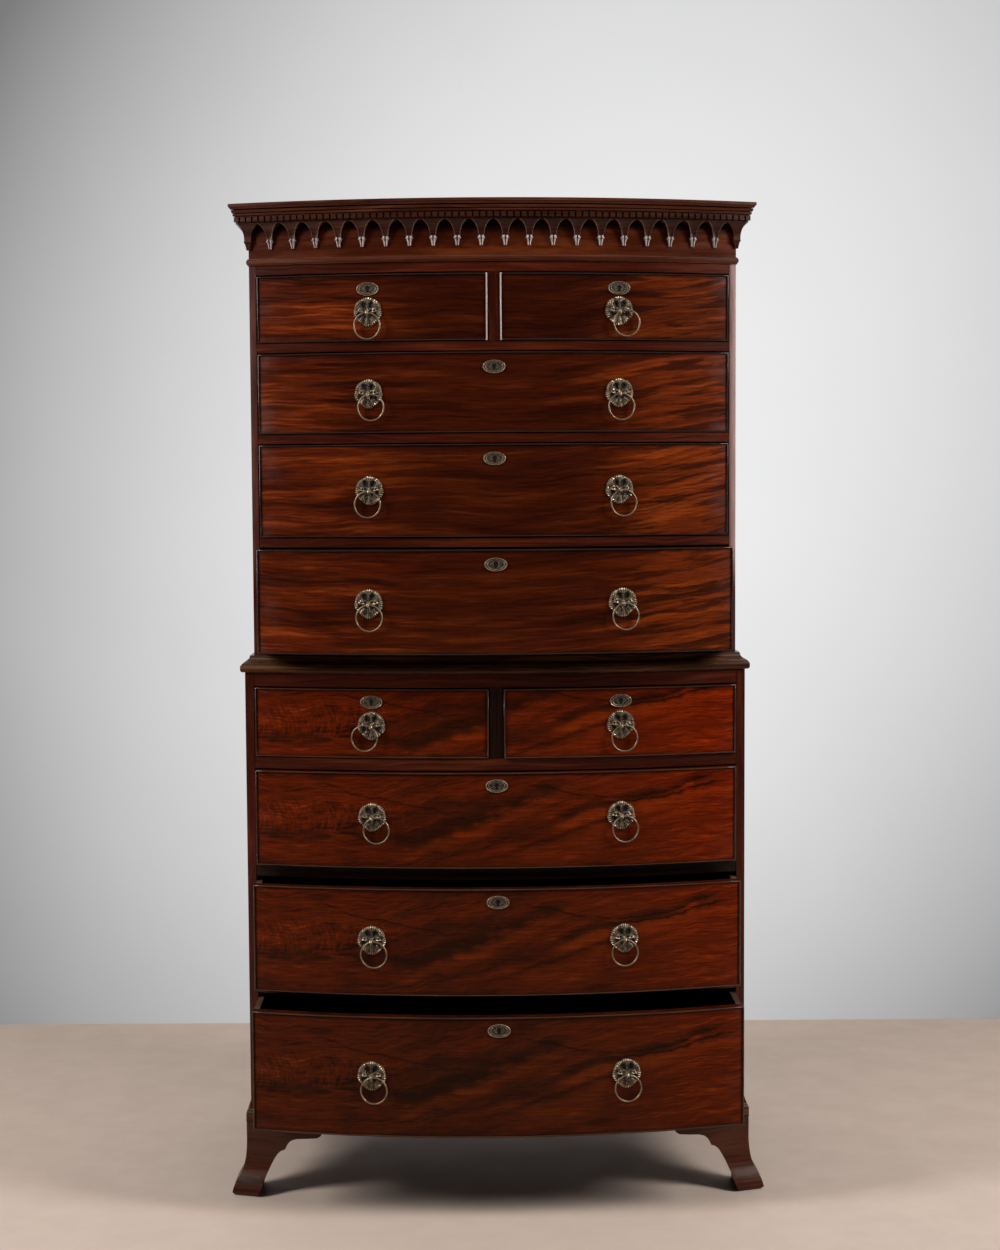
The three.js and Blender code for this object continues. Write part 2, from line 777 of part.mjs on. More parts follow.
for (const [side, word] of [[-1, 'left'], [1, 'right']]) {
  addMesh(chest, `foot_front_${word}`, makeFrontFoot(side), looks.carcass);
  addMesh(chest, `foot_rear_${word}`, makeRearFoot(side), looks.carcass);
  addMesh(chest, `lower_side_${word}`, makeLowerSide(side), looks.carcass);
  addMesh(chest, `upper_side_${word}`, makeUpperSide(side), looks.carcass);
}
const lowerInner = insideHalf(lowerFront, lowerWall);
const upperInner = insideHalf(upperFront, upperWall);
const lowerBackFoot = lowerFloorTop + seatGap;
const upperFoot = waistTop + seatGap;
addMesh(chest, 'lower_bottom_board', makeBase(), looks.carcass);
addMesh(chest, 'lower_back_boards', makeBack(lowerInner, lowerBackFoot, lowerCaseTop), looks.lining);
addCase('lower', lowerFront, lowerWall, lowerDivider, lowerStack, lowerRows, plateDropLower);
addMesh(chest, 'lower_top_and_waist', makeWaist(), looks.carcass);

// The upper case, its frieze and its cornice

addMesh(
  chest, 'upper_bottom_board',
  bowedBoard(upperFront, -upperInner, upperInner, 0, backFace, upperFoot, upperBottomBoard),
  looks.carcass,
);
addMesh(chest, 'upper_back_boards', makeBack(upperInner, upperFoot, friezeTop), looks.lining);
addCase('upper', upperFront, upperWall, upperDivider, upperStack, upperRows, plateDropUpper);
addMesh(
  chest, 'upper_top_board',
  bowedBoard(
    upperFront, -upperInner, upperInner, 0, backFace, upperStack.at(-1).top, upperTopBoard,
  ),
  looks.carcass,
);
addMesh(chest, 'frieze', makeFrieze(), looks.carcass);
addMesh(chest, 'cornice', makeCornice(), looks.carcass);

chest.updateMatrixWorld(true);
const bounds = new THREE.Box3().setFromObject(chest, true);
const middle = bounds.getCenter(new THREE.Vector3());
chest.position.set(-middle.x, -middle.y, -bounds.min.z);

export default chest;
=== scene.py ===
"""A bow-fronted mahogany chest on chest with ring pulls, built piece by piece on its frame."""

import json
import math

import bmesh
import bpy
from bpy.props import FloatProperty, FloatVectorProperty, IntProperty, PointerProperty
from mathutils import Matrix, Vector, noise

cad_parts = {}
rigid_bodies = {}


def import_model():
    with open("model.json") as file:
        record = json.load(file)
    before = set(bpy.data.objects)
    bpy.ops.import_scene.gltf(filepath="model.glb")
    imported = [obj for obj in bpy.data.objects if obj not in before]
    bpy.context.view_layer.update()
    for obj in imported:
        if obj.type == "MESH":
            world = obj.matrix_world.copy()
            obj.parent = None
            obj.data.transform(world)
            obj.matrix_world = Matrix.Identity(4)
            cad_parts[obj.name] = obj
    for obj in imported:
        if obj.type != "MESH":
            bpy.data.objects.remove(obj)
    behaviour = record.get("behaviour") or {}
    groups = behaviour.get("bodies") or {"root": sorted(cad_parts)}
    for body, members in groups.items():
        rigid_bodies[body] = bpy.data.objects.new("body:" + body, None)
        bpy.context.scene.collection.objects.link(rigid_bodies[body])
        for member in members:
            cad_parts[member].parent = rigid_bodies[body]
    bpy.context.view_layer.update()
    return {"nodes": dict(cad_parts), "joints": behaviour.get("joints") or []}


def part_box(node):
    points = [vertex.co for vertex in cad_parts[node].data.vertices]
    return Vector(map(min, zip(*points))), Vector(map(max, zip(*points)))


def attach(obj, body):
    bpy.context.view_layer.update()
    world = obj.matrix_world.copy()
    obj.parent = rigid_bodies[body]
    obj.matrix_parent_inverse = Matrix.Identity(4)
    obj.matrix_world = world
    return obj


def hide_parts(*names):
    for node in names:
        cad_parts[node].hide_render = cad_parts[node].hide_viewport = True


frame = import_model()

bl_info = {
    "name": "Chest on chest", "version": (1, 0, 0), "blender": (4, 5, 0),
    "location": "View3D > Sidebar > Chest",
    "description": "Builds a bow-fronted mahogany chest on chest, its brass and its stage",
    "category": "Object",
}

MM = 0.001
BOW = 74 * MM
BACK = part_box("cornice")[1].y
INNER_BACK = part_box("lower_dustboard_1")[1].y
CREASE = math.radians(24)


class Bow:
    """The plan of one case: an arc through its two front corners."""

    def __init__(self, half, corner_y):
        self.half = half
        self.corner_y = corner_y
        self.radius = (half * half + BOW * BOW) / (2 * BOW)
        self.centre_y = corner_y + self.radius - BOW

    def y(self, x, out=0.0):
        return self.centre_y - math.sqrt((self.radius + out) ** 2 - x * x)

    def at(self, x, out, z):
        return Vector((x, self.y(x, out), z))

    def normal(self, x):
        slope = math.asin(x / self.radius)
        return Vector((math.sin(slope), -math.cos(slope), 0.0))


UPPER = Bow(490 * MM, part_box("upper_dustboard_1")[0].y + BOW)
LOWER = Bow(508 * MM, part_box("lower_dustboard_1")[0].y + BOW)
CASES = {"upper": UPPER, "lower": LOWER}
SIDES = {-1: "left", 1: "right"}
ROWS = ("short_left", "short_right", "long_1", "long_2", "long_3")
DRAWERS = [f"{case}_{row}" for case in CASES for row in ROWS]
SLIDES = {j["child"]: j for j in frame["joints"] if j["type"] == "slide"}
HINGES = {j["child"]: j for j in frame["joints"] if j["type"] == "hinge"}


# Mesh tools


def sweep(bm, section, places, closed=False, light=None):
    """Carries a closed section through a list of places by extruding its edges.

    If light is given, it says how far each point catches the light, by place and rank.
    """
    rank = bm.verts.layers.int.get("rank") or bm.verts.layers.int.new("rank")
    relief = bm.verts.layers.float.get("relief") or bm.verts.layers.float.new("relief")
    verts = []
    for index, point in enumerate(section):
        vert = bm.verts.new(places[0](*point))
        vert[rank] = index
        if light:
            vert[relief] = light(0, index)
        verts.append(vert)
    edges = [bm.edges.new(pair) for pair in zip(verts, verts[1:] + verts[:1])]
    first = edges
    for number in [*range(1, len(places)), *([0] if closed else [])]:
        made = bmesh.ops.extrude_edge_only(bm, edges=edges)["geom"]
        edges = [item for item in made if isinstance(item, bmesh.types.BMEdge)]
        for vert in {v for edge in edges for v in edge.verts}:
            vert.co = places[number](*section[vert[rank]])
            if light:
                vert[relief] = light(number, vert[rank])
    if not closed:
        bmesh.ops.edgeloop_fill(bm, edges=first)
        bmesh.ops.edgeloop_fill(bm, edges=edges)
    return bm


def spread(start, stop, steps):
    return [start + (stop - start) * i / steps for i in range(steps + 1)]


def across(bow, x0, x1, steps, pulled=0.0):
    """Places across a bowed front. A straight point gives its own depth instead of its reach."""

    def place_at(x):
        def place(out, z, straight=False):
            return Vector((x, (out if straight else bow.y(x, out)) - pulled, z))

        return place

    return [place_at(x) for x in spread(x0, x1, steps)]


def edge_shares(steps):
    """Shares of the way round a case: -1 to 1 along its front, and beyond that its back."""
    return [-2, *spread(-1, 1, steps), 2]


def edge_point(bow, share, out, z, back=BACK):
    """A point round the edge of a case, at a reach and height."""
    if abs(share) > 1:
        return Vector((math.copysign(bow.half + out, share), back, z))
    x = share * (bow.half + out)
    return Vector((x, bow.y(x, out), z))


def around(bow, back, steps):
    """Places from the back of the left side round the front to the back of the right side."""
    return [
        lambda out, z, share=share: edge_point(bow, share, out, z, back)
        for share in edge_shares(steps)
    ]


def raised(section, base):
    """A section given in millimetres of reach and height, moved up to its base."""
    return [(out * MM, base + z * MM) for out, z in section]


def numbered(count):
    """A section whose points are known by their number."""
    return [(i,) for i in range(count)]


def boarded(bm, bow, x0, x1, out, z0, z1, back=None, thickness=None, steps=40, pulled=0.0):
    """A board with a bowed front edge, and a straight back or an even thickness."""
    if thickness is None:
        rear = [(back + pulled, z1, True), (back + pulled, z0, True)]
    else:
        rear = [(out - thickness, z1), (out - thickness, z0)]
    return sweep(bm, [(out, z0), (out, z1), *rear], across(bow, x0, x1, steps, pulled))


def slab(bm, bow, profile, steps):
    """A slab whose edge follows a profile of reach and height, from the lowest up."""
    levels = [lambda share, point=point: edge_point(bow, share, *point) for point in profile]
    sweep(bm, [(share,) for share in edge_shares(steps)], levels)


def block(bm, low, high, turn=None):
    """A squared block between two corners, turned about the origin if asked."""
    made = bmesh.ops.create_cube(bm, size=1.0)["verts"]
    size, centre = Vector(high) - Vector(low), (Vector(high) + Vector(low)) / 2
    bmesh.ops.scale(bm, vec=size, verts=made)
    bmesh.ops.translate(bm, vec=centre, verts=made)
    if turn:
        bmesh.ops.transform(bm, matrix=turn, verts=made)


def turned(bm, profile, steps, matrix):
    """A turned shape: radius and height pairs spun round the local Z axis."""

    def place_at(angle):
        ca, sa = math.cos(angle), math.sin(angle)
        return lambda radius, height: matrix @ Vector((radius * ca, radius * sa, height))

    places = [place_at(2 * math.pi * i / steps) for i in range(steps)]
    sweep(bm, profile, places, closed=True)


def placed(origin, *axes):
    """A matrix with its origin and the directions of its local axes."""
    return Matrix.Translation(origin) @ Matrix(axes).transposed().to_4x4()


def light_up(bm, verts, light):
    """Stores how far each point catches the light."""
    relief = bm.verts.layers.float["relief"]
    for vert in verts:
        vert[relief] = light(vert)


def clamped(value):
    return max(0.0, min(1.0, value))


def smooth_curve(points, steps):
    """Points along a smooth curve through the given ones."""
    ends = [points[0], *points, points[-1]]
    curve = []
    for i in range(1, len(ends) - 2):
        a, b, c, d = (Vector(p) for p in ends[i - 1:i + 3])
        for step in range(steps):
            t = step / steps
            point = 2 * b + (c - a) * t
            point += (2 * a - 5 * b + 4 * c - d) * t * t
            point += (3 * b - 3 * c + d - a) * t ** 3
            curve.append(0.5 * point)
    curve.append(Vector(points[-1]))
    return [tuple(p) for p in curve]


def read_curve(curve, x):
    """The height of a curve over x, with straight runs between its points."""
    for (x0, y0), (x1, y1) in zip(curve, curve[1:]):
        if x0 <= x <= x1 and x1 > x0:
            return y0 + (y1 - y0) * (x - x0) / (x1 - x0)
    return curve[0][1] if x < curve[0][0] else curve[-1][1]


def finish_piece(name, bm, body, finishes, nodes=(), soften=0.0, crease=CREASE):
    """Closes a mesh, softens its edges, gives it its body and finish, and hides the CAD nodes it
    stands in for.
    """
    bmesh.ops.remove_doubles(bm, verts=bm.verts, dist=1e-6)
    bmesh.ops.recalc_face_normals(bm, faces=bm.faces)
    if soften:
        edges = [e for e in bm.edges if e.calc_face_angle(0.0) > crease]
        bmesh.ops.bevel(
            bm, geom=edges, offset=soften, offset_type="OFFSET", affect="EDGES", segments=1,
            profile=0.5, material=-1, clamp_overlap=True,
        )
    for face in bm.faces:
        face.smooth = True
    for edge in bm.edges:
        edge.smooth = edge.calc_face_angle(0.0) < crease
    mesh = bpy.data.meshes.new(name)
    bm.to_mesh(mesh)
    bm.free()
    piece = bpy.data.objects.new(name, mesh)
    bpy.context.scene.collection.objects.link(piece)
    for finish in finishes:
        mesh.materials.append(bpy.data.materials[finish])
    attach(piece, body)
    if nodes:
        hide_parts(*nodes)


def case_piece(name, bm, finish, nodes=(), soften=0.0):
    finish_piece(name, bm, "case", [finish], nodes, soften)


def bow_of(drawer):
    return CASES[drawer.split("_")[0]]


def pulled_out(drawer):
    """How far a drawer stands open at rest."""
    return -SLIDES[drawer]["range_m"][0]


# Material tools


class Value:
    """What a socket gives out, to be reckoned with like a number or a vector."""

    def __init__(self, socket):
        self.socket = socket
        self.tree = socket.id_data

    def math(self, operation, *values):
        kind = "ShaderNodeVectorMath" if self.socket.type == "VECTOR" else "ShaderNodeMath"
        return add_node(self.tree, kind, dict(enumerate(values)), operation=operation)[0]

    def __add__(self, other):
        return self.math("ADD", self, other)

    def __sub__(self, other):
        return self.math("SUBTRACT", self, other)

    def __rsub__(self, other):
        return self.math("SUBTRACT", other, self)

    def __mul__(self, other):
        return self.math("MULTIPLY", self, other)

    def __abs__(self):
        return self.math("ABSOLUTE", self)


class Outputs:
    """A node's outputs as values, by name or number."""

    def __init__(self, node):
        self.node = node

    def __getitem__(self, key):
        return Value(self.node.outputs[key])


def feed(node, values):
    """Sets a node's inputs to numbers, or links them to values."""
    for key, value in values.items():
        if isinstance(value, Value):
            value.tree.links.new(value.socket, node.inputs[key])
        else:
            node.inputs[key].default_value = value


def add_node(tree, kind, values=None, **settings):
    """Adds a node with its settings and inputs, and gives its outputs."""
    node = tree.nodes.new(kind)
    for key, value in settings.items():
        setattr(node, key, value)
    feed(node, values or {})
    return Outputs(node)


def tree_of(*values):
    return next(value.tree for value in values if isinstance(value, Value))


def larger(first, second):
    return first.math("MAXIMUM", first, second)


def smaller(first, second):
    return first.math("MINIMUM", first, second)


def combined(*parts):
    return add_node(tree_of(*parts), "ShaderNodeCombineXYZ", dict(enumerate(parts)))[0]


def parts_of(vector):
    return add_node(vector.tree, "ShaderNodeSeparateXYZ", {0: vector})


def geometry(tree, name):
    return add_node(tree, "ShaderNodeNewGeometry")[name]


def relief_and_highlight_of(tree):
    """How far each point catches the light, as stored in the mesh."""
    return add_node(tree, "ShaderNodeAttribute", attribute_name="relief")["Fac"]


def mapped(place, location=(0.0, 0.0, 0.0), turn=(0.0, 0.0, 0.0)):
    values = {"Vector": place, "Location": location, "Rotation": turn}
    return add_node(place.tree, "ShaderNodeMapping", values)[0]


def ranged(value, low, high, to_low=0.0, to_high=1.0, smooth=True):
    return add_node(
        value.tree, "ShaderNodeMapRange",
        {"Value": value, "From Min": low, "From Max": high, "To Min": to_low, "To Max": to_high},
        interpolation_type="SMOOTHSTEP" if smooth else "LINEAR",
    )[0]


def noised(vector, scale, detail=2.0, roughness=0.5, distortion=0.0):
    values = {
        "Vector": vector, "Scale": scale, "Detail": detail, "Roughness": roughness,
        "Distortion": distortion,
    }
    return add_node(vector.tree, "ShaderNodeTexNoise", values)["Fac"]


def mixed(factor, first, second, blend="MIX"):
    """Two colours mixed, each a value or its red, green and blue."""
    first, second = (c if isinstance(c, Value) else (*c, 1) for c in (first, second))
    values = {0: factor, 6: first, 7: second}
    tree = tree_of(*values.values())
    return add_node(tree, "ShaderNodeMix", values, data_type="RGBA", blend_type=blend)[2]


def dimmed(colour, level):
    return mixed(1.0, colour, combined(level, level, level), "MULTIPLY")


def make_group(name, fill, numbers):
    """A node group that takes a vector and numbers, and gives what fill makes of them."""
    group = bpy.data.node_groups.new(name, "ShaderNodeTree")
    add_socket = group.interface.new_socket
    add_socket("Vector", in_out="INPUT", socket_type="NodeSocketVector")
    for label, default in numbers.items():
        socket = add_socket(label, in_out="INPUT", socket_type="NodeSocketFloat")
        socket.default_value = default
    given = fill(add_node(group, "NodeGroupInput"))
    for label in given:
        add_socket(label, in_out="OUTPUT", socket_type="NodeSocketFloat")
    add_node(group, "NodeGroupOutput", given)


def place_group(name, *values):
    """Adds a group to the tree of its vector, with its numbers in order."""
    node = values[0].tree.nodes.new("ShaderNodeGroup")
    node.node_tree = bpy.data.node_groups[name]
    feed(node, dict(enumerate(values)))
    return Outputs(node)


def timber_grain(source):
    """Grain that runs along X: broad ribbons, finer streaks and open pores."""
    seed, parts = source["Seed"], parts_of(source["Vector"])
    base = source["Vector"] + combined(seed * 1.37, seed * 0.71, seed * 0.53)
    ahead = larger(parts["X"] + 0.05, 0.0)
    rise = ahead * ahead * source["Rise"]
    sway = (noised(base, 3.2) - 0.5) * source["Warp"]
    lifted = base + combined(0.0, 0.0, sway - rise)

    def marks(run, ribbon, low, high, *kind):
        along = source["Run"] * run
        stretched = lifted * combined(along, along, source["Ribbon"] * ribbon)
        return ranged(noised(stretched, 1.0, *kind), low, high)

    return {
        "Ribbon": marks(1.0, 1.0, 0.3, 0.7, 4.0, 0.55, 0.3),
        "Streak": marks(2.4, 4.5, 0.28, 0.72, 4.0, 0.6, 0.2),
        "Pores": marks(16.0, 46.0, 0.52, 0.72, 2.0, 0.6),
        "Cloud": marks(0.9, 0.22, 0.3, 0.7, 2.0, 0.5, 0.4),
    }


def flame_figure(source):
    """Figure of a crotch veneer: fibres that sweep up to the right and small curled feathers."""
    parts = parts_of(source["Vector"])
    drift = (noised(source["Vector"], 6.0, 3.0) - 0.5) * 0.065
    ahead = larger(parts["X"] + 0.24, 0.0)
    climb = ahead * (0.4 - ahead * 0.25)
    flow = combined(parts["X"] + source["Seed"], 0.0, parts["Z"] - climb + drift)
    up = parts["Z"] + drift
    curls = combined(parts["X"] + up * up * 9.0, 0.0, up)
    return {
        "Fibre": ranged(noised(flow * (18.0, 1.0, 240.0), 1.0, 4.0, 0.6), 0.3, 0.7),
        "Sweep": ranged(noised(flow * (3.2, 1.0, 38.0), 1.0, 4.0, 0.6), 0.3, 0.7),
        "Curl": ranged(noised(curls * (120.0, 1.0, 44.0), 1.0, 3.0, 0.6), 0.38, 0.64),
        "Cloud": ranged(noised(flow * (5.5, 1.0, 17.0), 1.0, 6.0, 0.68), 0.4, 0.62),
    }


def panel_edges(source):
    """How near a point is to a panel's sides and corners: 0 in the middle, 1 at its edge."""
    parts = parts_of(source["Vector"])
    width, height, reach = source["Half Width"], source["Half Height"], source["Reach"]
    wide = reach * 5.0

    def nearness(part, half, reach):
        return ranged(half - abs(part), 0.0, reach, 1.0, 0.0)

    sides = nearness(parts["X"], width, wide)
    return {
        "Edge": larger(nearness(parts["X"], width, reach), nearness(parts["Z"], height, reach)),
        "Corner": sides * nearness(parts["Z"], height, wide),
        "Sides": sides,
    }


def age_and_dust(source):
    """Patchy rubbing, fine scuffs, the dust that settles on upward faces, and patches for clouded
    polish and painted sheen.
    """
    vector = source["Vector"]
    limit = 0.82 - source["Amount"] * 0.4
    rub = noised(vector, source["Scale"], 5.0, 0.65)
    facing = parts_of(geometry(vector.tree, "Normal"))["Z"]
    patch = ranged(noised(vector, 34.0, 4.0, 0.6), 0.2, 0.8, 0.3, 1.0)
    return {
        "Rub": ranged(rub, limit, limit + 0.1),
        "Scuffs": ranged(noised(vector * (60.0, 60.0, 240.0), 1.0, 3.0, 0.7), 0.62, 0.74),
        "Dust": ranged(facing, 0.55, 0.95) * patch,
        "Bloom": ranged(noised(vector * (7.0, 7.0, 11.0), 1.0, 3.0, 0.6), 0.42, 0.72),
    }


def dark_vein(source):
    """One dark vein that bends across a panel, with the smudge and the glow along it."""
    vector, start, stop, width = (source[key] for key in ("Vector", "From", "To", "Width"))
    x, z = (parts_of(vector)[axis] for axis in "XZ")
    along = x - start
    path = source["Height"] + along * (source["Slope"] + along * source["Bend"])
    wander = (noised(vector, 16.0, 4.0, 0.6) - 0.5) * 0.03
    gap = z - path - wander
    span = ranged(x, start, start + 0.05) * ranged(x, stop - 0.06, stop, 1.0, 0.0)
    broken = ranged(noised(vector, 30.0, 3.0, 0.6), 0.3, 0.55, 0.25, 1.0)
    thin = ranged(abs(gap), 0.0008, 0.0026, 1.0, 0.0)
    cloudy = ranged(noised(vector * (20.0, 20.0, 70.0), 1.0, 4.0, 0.62), 0.3, 0.54)
    thick = ranged(abs(gap), width * 0.2, width, 1.0, 0.0) * cloudy
    glow = ranged(gap, -0.045, -0.02) * ranged(gap, -0.012, -0.002, 1.0, 0.0)
    return {"Vein": thin * broken * span, "Smudge": thick * span, "Glow": glow * span}


GROUPS = {
    "Timber grain": (
        timber_grain, {"Run": 2.0, "Ribbon": 26.0, "Rise": 0.0, "Warp": 0.02, "Seed": 0.0},
    ),
    "Flame figure": (flame_figure, {"Seed": 0.0}),
    "Dark vein": (
        dark_vein,
        {"From": 0.0, "To": 0.3, "Height": 0.0, "Slope": 0.2, "Bend": 0.5, "Width": 0.02},
    ),
    "Panel edges": (panel_edges, {"Half Width": 0.4, "Half Height": 0.1, "Reach": 0.03}),
    "Age and dust": (age_and_dust, {"Scale": 20.0, "Amount": 0.5}),
}


def new_material(name):
    """The shader of a new material, and the coordinates of the piece that it is on."""
    material = bpy.data.materials.new(name)
    material.use_nodes = True
    tree = material.node_tree
    return tree.nodes["Principled BSDF"], add_node(tree, "ShaderNodeTexCoord")["Object"]


def finish_shader(shader, colour, roughness, specular, bump, **others):
    """Feeds a shader. The bump is given as its height, strength and depth."""
    values = dict(zip(("Height", "Strength", "Distance"), bump))
    normal = add_node(shader.id_data, "ShaderNodeBump", values)[0]
    feed(shader, {
        "Base Color": colour, "Roughness": roughness, "Specular IOR Level": specular,
        "Normal": normal, **{key.replace("_", " "): value for key, value in others.items()},
    })


def stripe_colour(colours, grain, streaks, across_x):
    """Ribbon stripe: lively at both ends, calm and darker in the middle."""
    dark, mid, bright = colours.stripe_dark, colours.stripe, colours.stripe_bright
    level = grain["Ribbon"] * 0.5 + (grain["Streak"] * 0.32 + grain["Cloud"] * 0.18)
    colour = mixed(ranged(level, 0.1, 0.5), dark, mid)
    colour = mixed(ranged(level, 0.5, 0.9), colour, bright)
    colour = mixed(ranged(across_x, 0.15, 0.42, 0.0, 0.3), colour, bright)
    ends = larger(ranged(across_x, 0.04, 0.3), ranged(across_x, -0.04, -0.34, 0.0, 0.5))
    colour = mixed(ranged(streaks["Ribbon"], 0.46, 0.8) * ends * 0.8, colour, dark)
    gloom = ranged(across_x, -0.36, -0.12) * ranged(across_x, 0.12, 0.34, 1.0, 0.0)
    return mixed(gloom * 0.69, colour, dark)


def flame_colour(colours, grain, vector, across_x, height):
    """Flame figure: curled at the left, smoky in the middle, veined and redder at the right."""
    dark, mid, bright = colours.flame_dark, colours.flame, colours.flame_bright
    flame = place_group("Flame figure", vector, 3.1)
    band = ranged(across_x, -0.13, -0.27) * ranged(
        abs(parts_of(vector)["Z"] - 0.004), 0.018, 0.05, 1.0, 0.1,
    )
    right = ranged(across_x, 0.2, 0.44)
    tone = (
        (flame["Curl"] - 0.55) * band * 0.32 + 0.42 + (flame["Fibre"] - 0.5) * 0.36
        + (flame["Sweep"] - 0.5) * 0.3 + (grain["Streak"] - 0.5) * 0.1 + right * 0.2
    )
    colour = mixed(ranged(tone, 0.05, 0.5), dark, mid)
    colour = mixed(ranged(tone, 0.5, 0.95), colour, bright)
    smoke = ranged(across_x, -0.34, -0.1) * ranged(across_x, 0.0, 0.2, 1.0, 0.0)
    colour = mixed(flame["Cloud"] * smoke * 0.7, colour, dark)
    # Each vein's start, stop, height, slope, bend and width, then how strongly its line, its
    # smudge and the glow below it show.
    for *course, line, smudge, glow in (
        (-0.22, 0.16, -0.06, 0.34, 0.1, 0.036, 0.0, 0.85, 0.4),
        (0.1, 0.46, 0.0, 0.26, -0.05, 0.018, 0.25, 0.8, 0.55),
        (-0.5, -0.12, -0.035, 0.03, -0.1, 0.018, 0.0, 0.8, 0.0),
        (0.2, 0.49, 0.035, 0.0, 0.55, 0.01, 0.8, 0.6, 0.0),
        (0.04, 0.47, 0.085, -0.4, 1.0, 0.006, 0.65, 0.3, 0.0),
        (-0.38, -0.02, 0.075, -0.2, -0.05, 0.006, 0.6, 0.2, 0.0),
        (0.02, 0.3, -0.06, 0.25, 0.2, 0.01, 0.3, 0.45, 0.2),
    ):
        vein = place_group("Dark vein", vector, *course)
        if glow:
            colour = mixed(vein["Glow"] * glow, colour, bright)
        colour = mixed(vein["Smudge"] * smudge, colour, dark)
        if line:
            colour = mixed(vein["Vein"] * line, colour, (0.008, 0.002, 0.001))
    # The right-hand ends are redder.
    colour = mixed(right, colour, (1.06, 0.8, 0.5), "MULTIPLY")
    gloom = ranged(height, 0.16, 0.92, 1.0, 0.0, smooth=False)
    return mixed(gloom, colour, colours.flame_low, "MULTIPLY")


def make_veneer(drawer, colours):
    """The veneer of one drawer front: ribbon stripe above, flame figure below."""
    low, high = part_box(f"{drawer}_front")
    shader, place = new_material(f"veneer {drawer.replace('_', ' ')}")
    upper = drawer.startswith("upper")
    middle, half = (low + high) / 2, (high - low) / 2
    # The flame is the same on every drawer of the lower case, as sheets cut from one block.
    vector = mapped(place, (0.0, -middle.y, -middle.z))
    panel = place_group("Panel edges", mapped(place, -middle), half.x, half.z, 0.012)
    age = place_group("Age and dust", place, 16.0, 0.4)
    parts = parts_of(place)
    if upper:
        seed = 2.3 * ROWS.index(drawer.split("_", 1)[1]) + 0.7
        grain = place_group("Timber grain", vector, 3.4, 46.0, 0.2, 0.05, seed)
        streaks = place_group("Timber grain", vector, 6.5, 76.0, 0.15, 0.05, seed + 4.1)
        colour = stripe_colour(colours, grain, streaks, parts["X"])
        if "short" in drawer:
            # The short drawers are darker from the middle to the right.
            colour = dimmed(colour, ranged(parts["X"], -0.3, -0.05, 1.0, 0.7))
    else:
        grain = place_group("Timber grain", vector, 3.0, 30.0, 0.1, 0.08, 11.0)
        colour = flame_colour(colours, grain, vector, parts["X"], parts["Z"])
    fine = noised(vector * (16.0, 16.0, 280.0), 1.0, 3.0, 0.7)
    colour = dimmed(colour, ranged(fine, 0.34, 0.66, 0.72, 1.2))
    near_black = (0.006, 0.0015, 0.0008)
    colour = mixed(grain["Pores"] * 0.4, colour, near_black)
    # Clouded polish and painted sheen towards both ends of the front, in its corners and along its
    # sides.
    ends = age["Bloom"] * ranged(abs(parts["X"]), 0.25, 0.36)
    bloom_and_sheen = larger(panel["Corner"], panel["Sides"] * 0.6) * ends
    colour = mixed(bloom_and_sheen * (0.4 if upper else 0.1), colour, colours.bloom_and_sheen)
    # Painted shade: the veneer darkens towards its edges, inside the cock bead.
    colour = mixed(panel["Edge"] * 0.6, colour, near_black)
    roughness = ranged(grain["Streak"], 0.0, 1.0, 0.2, 0.27) + bloom_and_sheen * 0.22
    finish_shader(
        shader, colour, roughness, 0.2 if upper else 0.05,
        (grain["Streak"] * 0.4 - grain["Pores"], 0.08, 0.0003),
        Coat_Weight=0.03 if upper else 0.012, Coat_Roughness=0.06,
    )


